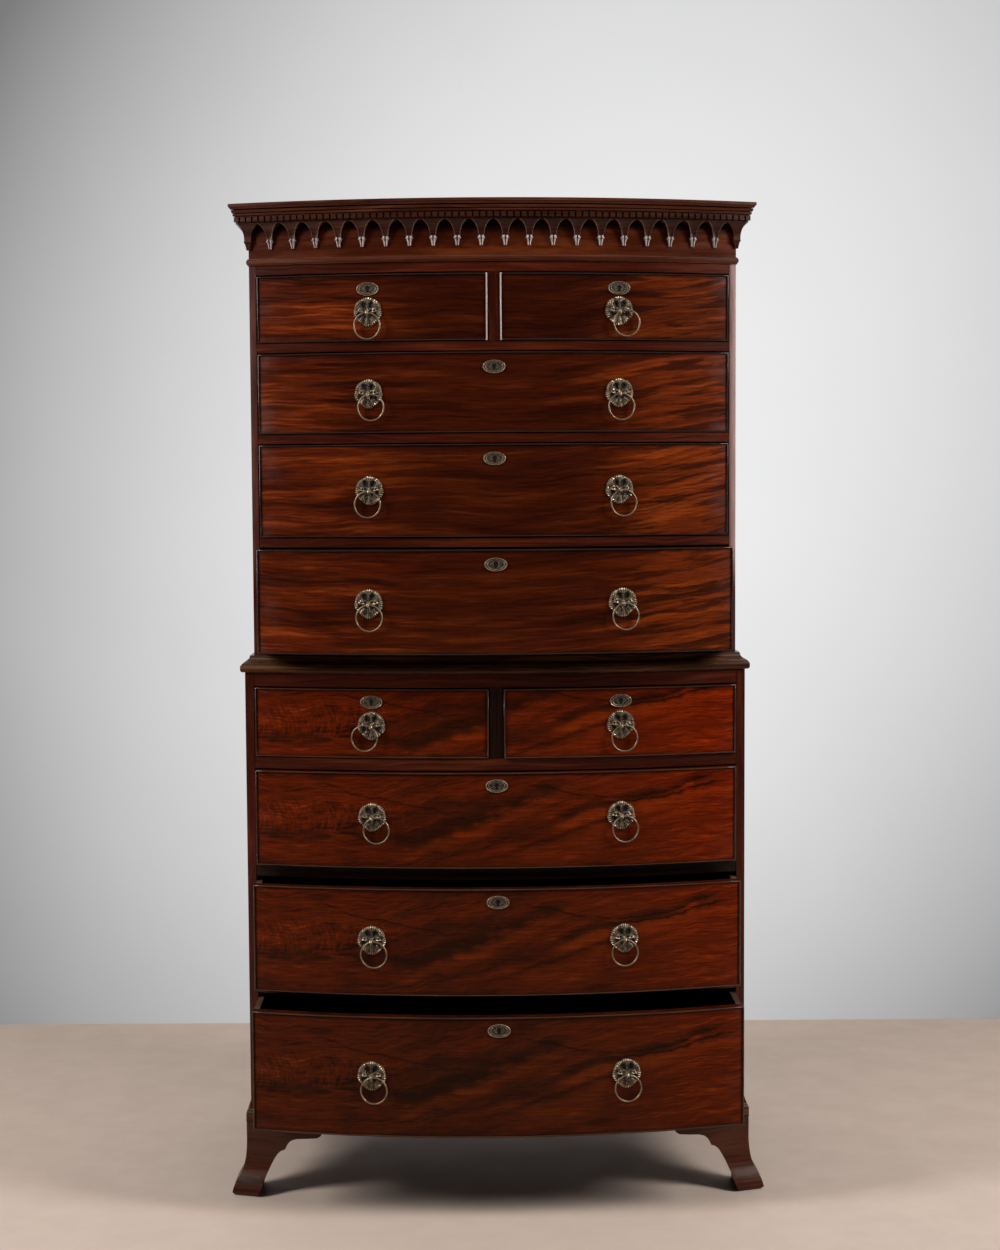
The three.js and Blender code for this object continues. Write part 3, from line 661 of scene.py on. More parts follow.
def make_case_wood(
    name, shades, rub, ribbon, seed=0.0, upright=False, sheen=False, shaded=None, painted_highlight=None,
):
    """Mahogany of the cases, rubbed paler, with a painted sheen, painted shade or painted
    highlights on the arcade where asked.
    """
    shader, place = new_material(name)
    tree = place.tree
    x, y, z = (parts_of(place)[axis] for axis in "XYZ")
    if upright:
        vector = combined(z, 0.0, x + y)
    else:
        level = ranged(abs(parts_of(geometry(tree, "Normal"))["Z"]), 0.7, 0.8)
        vector = combined(x, y, z + y * level)
    grain = place_group("Timber grain", vector, 2.6, ribbon, 0.0, 0.05, seed)
    age = place_group("Age and dust", place, 22.0, rub)
    figure = grain["Ribbon"] * 0.55 + grain["Streak"] * 0.45
    dark, mid, bright = shades
    colour = mixed(ranged(figure, -0.2, 0.5), dark, mid)
    colour = mixed(ranged(figure, 0.4, 1.2), colour, bright)
    colour = mixed(grain["Pores"] * 0.5, colour, (0.01, 0.004, 0.003))
    colour = mixed(age["Rub"] * 0.4, colour, (0.1, 0.033, 0.018))
    colour = mixed(age["Dust"] * 0.24, colour, (0.12, 0.075, 0.05))
    if sheen:
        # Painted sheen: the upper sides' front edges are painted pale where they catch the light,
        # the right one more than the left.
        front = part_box("upper_side_left")[0].y
        edge = ranged(z, 1.22, 1.34) * ranged(y, front + 0.004, front + 0.012, 1.0, 0.0)
        sides = larger(ranged(x, 0.47, 0.49), ranged(x, -0.47, -0.488, 0.0, 0.08))
        pale = edge * sides * ranged(grain["Streak"], 0.0, 1.0, 0.7, 1.0)
        colour = mixed(pale, colour, (0.36, 0.235, 0.22))
    if shaded:
        # Painted shade: near black just below the given height, at the top of the frieze under the
        # arcade.
        shade = ranged(z, shaded - 0.024, shaded - 0.009, 0.0, 0.93)
        colour = mixed(shade, colour, (0.003, 0.001, 0.0006))
    if painted_highlight:
        # Painted highlight: the arcade's stored light paints its facets and arrises pale, broken by
        # a patchy mask.
        patch = ranged(noised(place, 130.0, 3.0, 0.6), 0.2, 0.7, 0.4, 0.9)
        colour = mixed(relief_and_highlight_of(tree) * patch, colour, painted_highlight)
    roughness = ranged(grain["Streak"], 0.0, 1.0, 0.24, 0.34) + age["Rub"] * 0.15
    finish_shader(
        shader, colour, roughness, 0.14, (grain["Streak"] * 0.5 - grain["Pores"], 0.15, 0.0004),
        Coat_Weight=0.05, Coat_Roughness=0.1,
    )


def make_bead_wood(name, bright, worn, amount, coat, divider_highlight):
    """Cock bead: dark polished strip, worn to pale wood in places, with painted highlights where
    asked.
    """
    shader, place = new_material(name)
    age = place_group("Age and dust", place, 38.0, amount)
    grain = place_group("Timber grain", place, 3.0, 60.0, 0.0, 0.03, 4.0)
    colour = mixed(grain["Streak"], [c * 0.4 for c in bright], bright)
    colour = mixed(age["Rub"] * 0.8, colour, worn)
    if divider_highlight:
        # Painted highlight: the upright beads beside the divider are painted pale where their
        # rounded faces catch the side lamps.
        x, z = (parts_of(place)[axis] for axis in "XZ")
        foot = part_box("upper_short_left_front")[0].z
        short = ranged(z, foot - 0.004, foot - 0.002)
        pale = ranged(abs(x), 0.017, 0.0155, 0.0, 0.85) * short
        colour = mixed(pale, colour, (0.42, 0.34, 0.32))
    finish_shader(
        shader, colour, ranged(age["Rub"], 0.0, 1.0, 0.24, 0.45), 0.25,
        (age["Scuffs"], 0.1, 0.0003), Coat_Weight=coat, Coat_Roughness=0.14,
    )


def make_bare_wood(name, dark, pale, turn=(0.0, 0.0, 0.0)):
    """Unpolished drawer linings and backs, dry and a little grimy."""
    shader, place = new_material(name)
    grain = place_group("Timber grain", mapped(place, turn=turn), 2.0, 34.0, 0.0, 0.08, 8.0)
    age = place_group("Age and dust", place, 9.0, 0.6)
    colour = mixed(grain["Streak"], dark, pale)
    colour = mixed(grain["Cloud"] * 0.4, colour, dark)
    colour = mixed(age["Rub"] * 0.5, colour, (0.05, 0.03, 0.018))
    colour = mixed(grain["Pores"] * 0.4, colour, (0.03, 0.016, 0.008))
    finish_shader(
        shader, colour, ranged(grain["Streak"], 0.0, 1.0, 0.6, 0.78), 0.3,
        (grain["Streak"] - grain["Pores"], 0.3, 0.0005),
    )


def make_brass(name, colours, shine, lift, speckle):
    """Old brass: dark patina in the hollows, rubbed paler on what stands proud."""
    shader, place = new_material(name)
    spots = noised(place, 520.0, 4.0, 0.65)
    blotch = noised(place, 90.0, 3.0, 0.6)
    proud = relief_and_highlight_of(place.tree) * 0.8 + lift + (spots - 0.5) * speckle
    colour = mixed(ranged(proud, 0.12, 0.4), colours.patina, colours.brass)
    colour = mixed(ranged(proud, 0.42, 0.78), colour, colours.brass_bright)
    colour = mixed(ranged(blotch, 0.5, 0.7, 0.0, 0.4), colour, colours.patina)
    finish_shader(
        shader, colour, ranged(proud, 0.2, 0.8, 0.6, shine), 0.25, (spots, 0.25, 0.0003),
        Metallic=ranged(proud, 0.15, 0.6, 0.25, 0.9),
    )


def make_plain(name, colour, roughness, scale, amount):
    """A near-black or pale surface with a faint mottle."""
    shader, place = new_material(name)
    mottle = noised(place, scale, 4.0, 0.6)
    darker = [c * (1 - amount) for c in colour]
    rough = ranged(mottle, 0.3, 0.7, roughness, roughness * 0.85)
    mottled = mixed(ranged(mottle, 0.3, 0.7), darker, colour)
    finish_shader(shader, mottled, rough, 0.25, (mottle, 0.05, 0.0005))


# Sizes and colours that a user would change


def length(name, description, default):
    return FloatProperty(
        name=name, description=description, default=default, min=0.0, subtype="DISTANCE",
        unit="LENGTH",
    )


def colour_of(name, description, default):
    return FloatVectorProperty(
        name=name, description=description, default=default, min=0.0, max=1.0, size=3,
        subtype="COLOR",
    )


class ChestSizes(bpy.types.PropertyGroup):
    softened: length("Softened edge", "Width of the rounding on the case's edges", 0.7 * MM)
    bead_width: length("Bead width", "Width of the cock bead round each drawer", 3.0 * MM)
    bead_height: length("Bead height", "How far the cock bead stands out", 3.0 * MM)
    front_board: length("Front board", "Thickness of each drawer front", 20.0 * MM)
    rosette: length("Rosette radius", "Radius of the plate behind each ring", 29.5 * MM)
    rosette_relief: length("Rosette relief", "How far the leaves stand out", 6.4 * MM)
    ring: length("Ring radius", "Radius of each ring to the middle of its wire", 26.0 * MM)
    wire: length("Ring wire", "Radius of each ring's wire", 1.9 * MM)
    key_width: length("Keyhole plate width", "Width of each keyhole plate", 46.0 * MM)
    key_height: length("Keyhole plate height", "Height of each keyhole plate", 27.0 * MM)
    arch: length("Arch pitch", "Distance between the hanging arches", 46.7 * MM)
    dentil: length("Dentil pitch", "Distance between the dentils", 13.3 * MM)
    steps: IntProperty(
        name="Bow steps", description="Steps along each bowed edge", default=48, min=8, max=160,
    )


class ChestColours(bpy.types.PropertyGroup):
    stripe_dark: colour_of(
        "Stripe, dark", "Dark streaks of the upper fronts", (0.02, 0.0028, 0.0005),
    )
    stripe: colour_of("Stripe", "Main colour of the upper fronts", (0.076, 0.0095, 0.0011))
    stripe_bright: colour_of("Stripe, bright", "Bright streaks above", (0.2, 0.032, 0.0038))
    flame_dark: colour_of("Flame, dark", "Dark clouds of the lower fronts", (0.02, 0.0048, 0.0017))
    flame: colour_of("Flame", "Main colour of the lower fronts", (0.089, 0.0098, 0.0017))
    flame_bright: colour_of("Flame, bright", "Bright streaks below", (0.21, 0.025, 0.0028))
    flame_low: colour_of("Flame, low", "Dims the bottom drawer", (0.56, 0.84, 1.0))
    case_dark: colour_of("Case, dark", "Dark grain of the cases", (0.011, 0.002, 0.0008))
    case_mid: colour_of("Case", "Main colour of the cases", (0.037, 0.0048, 0.0013))
    case_bright: colour_of("Case, bright", "Bright grain of the cases", (0.1, 0.018, 0.0055))
    moulding: colour_of("Moulding", "Main colour of waist and base", (0.036, 0.0115, 0.0038))
    moulding_bright: colour_of("Moulding, worn", "Where they are rubbed", (0.17, 0.066, 0.016))
    bloom_and_sheen: colour_of("Bloom", "Clouded polish and painted sheen near the edges", (0.12, 0.062, 0.058))
    lining: colour_of("Lining", "Bare wood of the drawers", (0.07, 0.034, 0.016))
    patina: colour_of("Patina", "Dark hollows of the brass", (0.006, 0.0048, 0.003))
    brass: colour_of("Brass", "Dull face of the brass", (0.15, 0.102, 0.064))
    brass_bright: colour_of("Brass, rubbed", "Rubbed ridges", (0.66, 0.53, 0.36))
    wall: colour_of("Wall", "Backdrop", (0.62, 0.63, 0.64))
    floor: colour_of("Floor", "Ground the chest stands on", (0.442, 0.346, 0.286))


# Operators


class ChestOperator:
    bl_options = {"REGISTER", "UNDO"}

    @property
    def sizes(self):
        return bpy.context.scene.chest_sizes

    @property
    def colours(self):
        return bpy.context.scene.chest_colours


class CHEST_OT_finishes(ChestOperator, bpy.types.Operator):
    """Mixes the finishes: veneers, case wood, cock bead, bare wood and brass"""

    bl_idname = "chest.finishes"
    bl_label = "Finishes"

    def execute(self, context):
        for name, (fill, numbers) in GROUPS.items():
            make_group(name, fill, numbers)
        tint = self.colours
        for drawer in DRAWERS:
            make_veneer(drawer, tint)
        case = (tint.case_dark, tint.case_mid, tint.case_bright)
        moulding = (tint.case_dark, tint.moulding, tint.moulding_bright)
        divider = [[0.6 * c for c in shade] for shade in case]
        frieze_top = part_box("frieze")[1].z
        # Each wood's dark, main and bright colour, its rubbing, its ribbon, seed and extras.
        for name, shades, rub, ribbon, seed, extras in (
            ("case rails", case, 0.25, 40.0, 0.0, {}),
            ("case uprights", case, 0.3, 22.0, 0.0, {"upright": True, "sheen": True}),
            ("upper divider", divider, 0.1, 50.0, 3.0, {"upright": True}),
            (
                "lower divider",
                ((0.006, 0.0015, 0.0008), (0.011, 0.003, 0.0016), (0.022, 0.006, 0.003)),
                0.2, 50.0, 4.0, {"upright": True},
            ),
            # Painted shade: a near-black rail.
            (
                "shaded rail",
                ((0.0045, 0.0012, 0.0006), (0.0085, 0.0022, 0.001), (0.018, 0.0045, 0.002)),
                0.1, 40.0, 0.0, {},
            ),
            (
                "frieze veneer",
                ((0.018, 0.003, 0.0008), (0.045, 0.0072, 0.0013), (0.125, 0.025, 0.005)),
                0.3, 16.0, 2.0, {"shaded": frieze_top},
            ),
            ("mouldings", moulding, 0.35, 50.0, 5.0, {}),
            (
                "crown", (tint.case_dark, (0.055, 0.0125, 0.005), (0.12, 0.036, 0.016)),
                0.3, 60.0, 6.0, {},
            ),
            (
                "arcade wood", (tint.case_dark, (0.034, 0.0095, 0.005), (0.085, 0.027, 0.014)),
                0.3, 60.0, 6.0, {"painted_highlight": (0.5, 0.42, 0.4)},
            ),
            (
                "dentil wood",
                ((0.012, 0.0036, 0.002), (0.032, 0.0105, 0.0065), (0.065, 0.023, 0.014)),
                0.3, 60.0, 9.0, {},
            ),
            (
                "feet wood",
                ((0.014, 0.004, 0.0016), (0.042, 0.0105, 0.0042), (0.08, 0.024, 0.01)),
                0.3, 26.0, 7.0, {},
            ),
        ):
            make_case_wood(name, shades, rub, ribbon, seed, **extras)
        make_bead_wood(
            "upper bead", (0.022, 0.009, 0.006), (0.16, 0.11, 0.09), 0.15, 0.06, divider_highlight=True,
        )
        make_bead_wood(
            "lower bead", (0.05, 0.02, 0.009), (0.17, 0.09, 0.045), 0.4, 0.03, divider_highlight=False,
        )
        make_bare_wood("drawer lining", (0.035, 0.016, 0.008), tint.lining)
        quarter = (0.0, math.pi / 2, 0.0)
        make_bare_wood("back boards", (0.06, 0.032, 0.016), (0.13, 0.072, 0.036), quarter)
        make_brass("rosette brass", tint, shine=0.3, lift=0.02, speckle=1.6)
        make_brass("ring brass", tint, shine=0.2, lift=0.08, speckle=0.5)
        make_brass("key brass", tint, shine=0.4, lift=0.0, speckle=1.2)
        # Painted shade: near black inside the shallow keyholes, standing in for their depth.
        make_plain("keyhole shade", (0.0015, 0.0012, 0.001), 0.9, 300.0, 0.5)
        return {"FINISHED"}


class CHEST_OT_feet(ChestOperator, bpy.types.Operator):
    """Makes the four flared bracket feet"""

    bl_idname = "chest.feet"
    bl_label = "Feet"

    foot_length = 153 * MM
    facing = 12 * MM
    # The reach of the flare over its height, and the height of the bracket's edge over its run.
    flare = [
        (0, 32.5), (1.5, 36.5), (6, 38), (14, 36), (29, 29.6), (41, 21.6), (55, 15.4), (72, 11.6),
        (90, 9.6), (105, 9), (145, 9),
    ]
    bracket = [
        (0, 0), (16, 0), (22, 14), (30, 36), (42, 62), (52, 80), (59, 89), (66, 93), (71, 94.5),
        (73.5, 100), (78, 109), (86, 115), (96, 118), (120, 120), (138, 122), (146, 127),
        (153, 140),
    ]
    brace = [(375, 133), (410, 117), (440, 88), (455, 46), (462, 0)]

    def section(self, inward):
        """Outer and inner face of the facing, above the bracket's edge at that place."""
        low = read_curve(self.bracket, inward / MM) * MM
        heights = [low + (self.top - low) * (i / 16) ** 1.15 for i in range(17)]
        flare = smooth_curve(self.flare, 4)
        outer = [(read_curve(flare, z / MM) * MM, z) for z in heights]
        return [*outer, (-self.facing, self.top), (-self.facing, low)]

    def stops(self, *corners):
        return sorted({*spread(0, self.foot_length, 40), *(stop * MM for stop in corners)})

    def along_side(self, side, stops, start, sign):
        """Places along the case's side, from the foot's inner end to its corner."""
        return [
            lambda i, s=self.section(d), y=start + sign * d: Vector(
                (side * (LOWER.half + s[i][0]), y, s[i][1])
            )
            for d in reversed(stops)
        ]

    def front_foot(self, bm, side):
        stops = self.stops(16, 71, 73.5)
        places = self.along_side(side, stops, LOWER.corner_y, 1) + [
            lambda i, s=self.section(max(d, 0.0)), d=d: LOWER.at(
                side * (LOWER.half + s[i][0] if d < 0 else LOWER.half - d), *s[i],
            )
            for d in [-1.0, *stops]
        ]
        sweep(bm, numbered(19), places)
        inner = LOWER.half - self.facing + 1.5 * MM
        xs = sorted((side * inner, side * (inner - 10 * MM)))
        y = LOWER.corner_y + self.facing - 1.5 * MM
        block(bm, (xs[0], y, 0.6 * MM), (xs[1], y + 34 * MM, self.top - 0.2 * MM))

    def rear_foot(self, bm, side):
        sweep(bm, numbered(19), self.along_side(side, self.stops(16, 71), BACK, -1))
        edge, end = LOWER.half - self.facing + 1.5 * MM, LOWER.half - self.foot_length
        curve = [(x * MM, z * MM) for x, z in smooth_curve(self.brace, 4)]
        outline = [(edge, 0), (edge, self.top), (end, self.top), (end, self.top * 0.95), *curve]
        depths = (BACK - 14 * MM, BACK - 0.2 * MM)
        sweep(
            bm, [(side * x, z) for x, z in outline],
            [lambda x, z, y=y: Vector((x, y, z)) for y in depths],
        )

    def execute(self, context):
        self.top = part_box("lower_bottom_board")[0].z - 0.3 * MM
        for side, word in SIDES.items():
            for end, fill in (("front", self.front_foot), ("rear", self.rear_foot)):
                node = f"foot_{end}_{word}"
                bm = bmesh.new()
                fill(bm, side)
                case_piece(f"bracket_{node}", bm, "feet wood", [node], self.sizes.softened)
        return {"FINISHED"}


class CHEST_OT_carcass(ChestOperator, bpy.types.Operator):
    """Makes the boards of both cases: sides, dustboards, dividers, top and bottom, and backs"""

    bl_idname = "chest.carcass"
    bl_label = "Case boards"

    walls = {"upper": 14 * MM, "lower": 18.5 * MM}
    back_recess = 16.3 * MM
    shoulder = [(-1.5, 0), (4.75, 0), (4.2, 3), (2.6, 8), (1.0, 12.6), (0.3, 15), (-1.5, 15)]
    planks = 6

    def board(self, node, bow, finish):
        low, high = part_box(node)
        bm = bmesh.new()
        steps = self.sizes.steps if high.x - low.x > 0.2 else 4
        boarded(bm, bow, low.x, high.x, 0.0, low.z, high.z, back=high.y, steps=steps)
        name = node.replace("dustboard", "dust_board") + "_wood"
        case_piece(name, bm, finish, [node], self.sizes.softened)

    def side(self, case, word, sign):
        bow = CASES[case]
        node = f"{case}_side_{word}"
        low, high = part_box(node)
        inner, outer = bow.half - self.walls[case], bow.half
        bm = bmesh.new()

        def level(z, recess=0.0):
            return lambda x, behind: Vector((sign * x, BACK if behind else bow.y(x, -recess), z))

        corners = [(outer, False), (inner, False), (inner, True), (outer, True)]
        if case == "upper":
            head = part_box("upper_top_board")[1].z
            sweep(bm, corners, [level(low.z), level(head)])
            recess = self.back_recess
            sweep(bm, corners, [level(head + 0.05 * MM, recess), level(high.z, recess)])
        else:
            sweep(bm, corners, [level(low.z), level(high.z)])

            def turn_in(out, z):
                return Vector((sign * inner, bow.y(inner, out), z))

            sweep(bm, raised(self.shoulder, low.z), [
                turn_in, *(lambda out, z, s=share: edge_point(bow, s * sign, out, z)
                           for share in (1, 2)),
            ])
        case_piece(f"{node}_board", bm, "case uprights", [node], self.sizes.softened)

    def back(self, case):
        node = f"{case}_back_boards"
        low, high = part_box(node)
        width = (high.x - low.x) / self.planks
        cut = 1.6 * MM
        bm = bmesh.new()
        for i in range(self.planks):
            x = low.x + i * width
            section = [
                (x, low.y), (x, high.y - cut), (x + cut, high.y), (x + width - cut, high.y),
                (x + width, high.y - cut), (x + width, low.y),
            ]
            sweep(bm, section, [lambda x, y, z=z: Vector((x, y, z)) for z in (low.z, high.z)])
        finish_piece(f"{case}_back_planks", bm, "case", ["back boards"], [node])

    def execute(self, context):
        for case, bow in CASES.items():
            for level in (1, 2, 3):
                # Painted shade: the rail over the first open drawer is painted darker than the
                # others, near black, as it lies in shadow.
                dark = case == "lower" and level == 2
                self.board(f"{case}_dustboard_{level}", bow, "shaded rail" if dark else "case rails")
            self.board(f"{case}_drawer_divider", bow, f"{case} divider")
            for sign, word in SIDES.items():
                self.side(case, word, sign)
            self.back(case)
        self.board("upper_bottom_board", UPPER, "case rails")
        self.board("upper_top_board", UPPER, "case rails")
        return {"FINISHED"}


class CHEST_OT_mouldings(ChestOperator, bpy.types.Operator):
    """Makes the base moulding, and the waist moulding with the rail below it"""

    bl_idname = "chest.mouldings"
    bl_label = "Base and waist"

    base = [
        (9.0, 0), (9.5, 0.8), (9.5, 19), (9.2, 21), (7.6, 22.5), (6.8, 25), (4.9, 27.4), (4.6, 28),
    ]
    waist = [
        (4.5, 0), (6.4, 0.6), (8.6, 2.6), (9.3, 5.4), (9.3, 10.5), (8.6, 13.4), (6.6, 15.4),
        (5.6, 15.8), (5.6, 17.2), (3.0, 18.2), (0.6, 20.0),
    ]
    neck = [(0.4, 20.2), (-3.6, 21.6), (-6.6, 24.4), (-8.6, 28.2), (-9.6, 32.0), (-9.8, 33.5)]

    def execute(self, context):
        steps = self.sizes.steps
        bm = bmesh.new()
        slab(bm, LOWER, raised(self.base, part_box("lower_bottom_board")[0].z), steps)
        case_piece("base_moulding", bm, "mouldings", ["lower_bottom_board"], 0.3 * MM)
        low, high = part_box("lower_top_and_waist")
        floor = high.z - 33.5 * MM
        bm = bmesh.new()
        slab(bm, LOWER, raised(self.waist, floor), steps)
        seat = high.z - 13.4 * MM

        def lip(share):
            """The neck goes round the lower case, and its inner side round the upper one."""
            return lambda out, z, inner=False: edge_point(
                UPPER if inner else LOWER, share, 0.8 * MM if inner else out, z,
            )

        inner_side = [(0.0, high.z, True), (0.0, seat - 0.2 * MM, True)]
        section = raised(self.neck, floor) + inner_side
        sweep(bm, section, [lip(share) for share in edge_shares(steps)])
        case_piece("waist_moulding", bm, "mouldings", ["lower_top_and_waist"], 0.3 * MM)
        inner = LOWER.half - 18.8 * MM
        bm = bmesh.new()
        boarded(
            bm, LOWER, -inner, inner, 0.0, low.z, floor + 0.4 * MM, back=INNER_BACK, steps=steps,
        )
        case_piece("lower_top_rail", bm, "case rails", soften=self.sizes.softened)
        return {"FINISHED"}


class CHEST_OT_frieze(ChestOperator, bpy.types.Operator):
    """Makes the frieze with its astragal and its arcade of hanging arches"""

    bl_idname = "chest.frieze"
    bl_label = "Frieze"

    wall = 16 * MM
    rooted = 1.5 * MM
    astragal = [
        (-1.5, 0), (2.4, 0), (2.8, 1.6), (4.4, 3.0), (5.0, 5.4), (5.0, 7.6), (4.4, 10), (2.8, 11.4),
        (2.4, 13), (-1.5, 13),
    ]
    strip = [(-1.5, 0), (19.4, 0), (20, 0.5), (20, 1.7), (-1.5, 1.7)]
    pendant = [
        (-16.8, 2.6, 3.2), (-16, 3.5, 4.2), (-12.5, 3.7, 4.7), (-8, 4.7, 5.8), (-4.6, 5.6, 6.7),
        (-3.8, 5.7, 6.8), (-3.2, 7.2, 8.2), (-0.8, 7.9, 9.0), (0.0, 6.4, 8.2), (2.4, 5.9, 8.0),
    ]
    # Both forms go across a spandrel by share of its width, share of its reach and painted
    # highlight.
    fluted = (
        (-1, 0, 0), (-1, 0.5, 0.1), (-0.82, 0.86, 0.8), (-0.5, 1, 1), (0, 0.7, 0), (0.5, 1, 1),
        (0.82, 0.86, 0.8), (1, 0.5, 0.1), (1, 0, 0),
    )
    arrised = (
        (-1, 0, 0), (-1, 0.86, 0), (-0.93, 1, 0.3), (-0.8, 0.97, 0), (0, 0.88, 0), (0.8, 0.97, 0),
        (0.93, 1, 0.3), (1, 0.86, 0), (1, 0, 0),
    )

    def levels(self, half_pitch):
        """Height, half width, reach and form of a spandrel, from its pendant's tip up."""
        levels = [(self.foot + z * MM, w * MM, r * MM, self.fluted) for z, w, r in self.pendant]
        for share in spread(0.09, 1.0, 14):
            z = self.foot + (self.head - self.foot) * share
            rise = min(1.0, share * 1.03)
            opening = (half_pitch - 5.9 * MM) * max(0.0, 1 - rise ** 2.2) ** 0.6
            reach = 8 * MM + 12 * MM * share ** 2.6
            levels.append((z, half_pitch - opening, reach, self.arrised))
        return levels

    def spandrel(self, bm, place, levels):
        def at(level):
            z, width, reach, form = level

            def put(index):
                along, depth, _ = form[index]
                out = -self.rooted + (reach + self.rooted) * depth
                return Vector((*place(along * width, out), z))

            return put

        # The third column paints pale streaks on the pendants' facets and pale arrises on the
        # arches, where they face the side lamps.
        sweep(
            bm, numbered(9), [at(level) for level in levels],
            light=lambda number, index: levels[number][3][index][2],
        )

    def on_front(self, along):
        angle = along / UPPER.radius
        ca, sa = math.cos(angle), math.sin(angle)
        x, y = UPPER.radius * sa, UPPER.centre_y - UPPER.radius * ca
        return lambda shift, out: (x + shift * ca + out * sa, y + shift * sa - out * ca)

    def on_side(self, side, y):
        return lambda shift, out: (side * (UPPER.half + out), y + shift)

    def corner(self, bm, side, levels):
        half = UPPER.half

        def at(level):
            z, width, reach, _ = level
            width = max(width, 0.6 * MM)
            inner, limit = half - width, min(UPPER.corner_y + width, self.return_y)
            plan = [
                (inner, UPPER.y(inner, -self.rooted)), (inner, UPPER.y(inner, reach)),
                (half + reach, UPPER.y(half + reach, reach)), (half + reach, limit),
                (half - self.rooted, limit),
            ]
            return lambda index: Vector((side * plan[index][0], plan[index][1], z))

        sweep(bm, numbered(5), [at(level) for level in levels])

    def execute(self, context):
        sizes = self.sizes
        low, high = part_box("frieze")
        self.foot, self.head = low.z + 47.5 * MM, high.z - 0.6 * MM
        self.return_y = UPPER.y(UPPER.half, -self.wall)
        bm = bmesh.new()
        boarded(
            bm, UPPER, -UPPER.half, UPPER.half, 0.0, low.z, high.z, thickness=self.wall,
            steps=sizes.steps,
        )
        case_piece("frieze_board", bm, "frieze veneer", ["frieze"], 0.3 * MM)
        strips = {
            "frieze_astragal": raised(self.astragal, low.z),
            "arcade_strip": raised(self.strip, high.z - 1.8 * MM),
        }
        for name, section in strips.items():
            bm = bmesh.new()
            sweep(bm, section, around(UPPER, self.return_y, sizes.steps))
            case_piece(name, bm, "crown")
        length = 2 * UPPER.radius * math.asin(UPPER.half / UPPER.radius)
        arches = round(length / sizes.arch)
        pitch = length / arches
        levels = self.levels(pitch / 2)
        bm = bmesh.new()
        for i in range(1, arches):
            self.spandrel(bm, self.on_front(i * pitch - length / 2), levels)
        for side in SIDES:
            self.corner(bm, side, levels)
        case_piece("arcade", bm, "arcade wood")
        run = BACK - UPPER.corner_y
        count = round(run / sizes.arch)
        levels = self.levels(run / count / 2)
        for side, word in SIDES.items():
            bm = bmesh.new()
            for i in range(1, count):
                place = self.on_side(side, UPPER.corner_y + i * run / count)
                self.spandrel(bm, place, levels)
            for section in strips.values():
                sweep(bm, section, [
                    lambda out, z, y=y: Vector((side * (UPPER.half + out), y, z))
                    for y in (self.return_y + 0.3 * MM, BACK)
                ])
            case_piece(f"side_arcade_{word}", bm, "arcade wood")
        return {"FINISHED"}


class CHEST_OT_cornice(ChestOperator, bpy.types.Operator):
    """Makes the cornice: a row of dentils under a stepped crown moulding"""

    bl_idname = "chest.cornice"
    bl_label = "Cornice"

    crown = [
        (21, 0), (21, 1.9), (20.4, 2.0), (20.4, 10.9), (24.6, 11.0), (24.6, 13.3), (27.8, 13.4),
        (28.6, 14.0), (28.9, 15.4), (28.9, 17.2), (24.6, 17.4), (24.6, 19.0), (30.2, 19.2),
        (31.0, 20.6), (31.5, 22.4), (31.7, 24.0), (27.0, 24.2), (27.0, 26.4), (33.4, 26.6),
        (33.9, 28.0), (35.2, 29.8), (36.9, 31.0), (37.5, 31.3), (37.5, 36.4), (37.1, 36.8),
    ]
    rim, inside, outside = 21 * MM, 20 * MM, 26 * MM

    def execute(self, context):
        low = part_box("cornice")[0]
        bm = bmesh.new()
        slab(bm, UPPER, raised(self.crown, low.z), self.sizes.steps)
        case_piece("crown_moulding", bm, "crown", ["cornice"])
        pitch = self.sizes.dentil
        tooth = pitch * 0.37
        bm = bmesh.new()
        rim = UPPER.radius + self.rim
        run = 2 * rim * math.asin((UPPER.half + self.rim) / rim)
        teeth = math.floor(run / pitch)
        z0, z1 = low.z + 1.6 * MM, low.z + 11.2 * MM
        for i in range(teeth):
            angle = (i - (teeth - 1) / 2) * pitch / UPPER.radius
            turn = Matrix.Translation((0, UPPER.centre_y, 0)) @ Matrix.Rotation(angle, 4, "Z")
            near, far = -UPPER.radius - self.outside, -UPPER.radius - self.inside
            block(bm, (-tooth, near, z0), (tooth, far, z1), turn)
        y = pitch / 2
        while y + pitch / 2 < BACK - UPPER.corner_y:
            for side in SIDES:
                xs = sorted(side * (UPPER.half + out) for out in (self.inside, self.outside))
                block(bm, (xs[0], BACK - y - tooth, z0), (xs[1], BACK - y + tooth, z1))
            y += pitch
        case_piece("dentils", bm, "dentil wood")
        return {"FINISHED"}


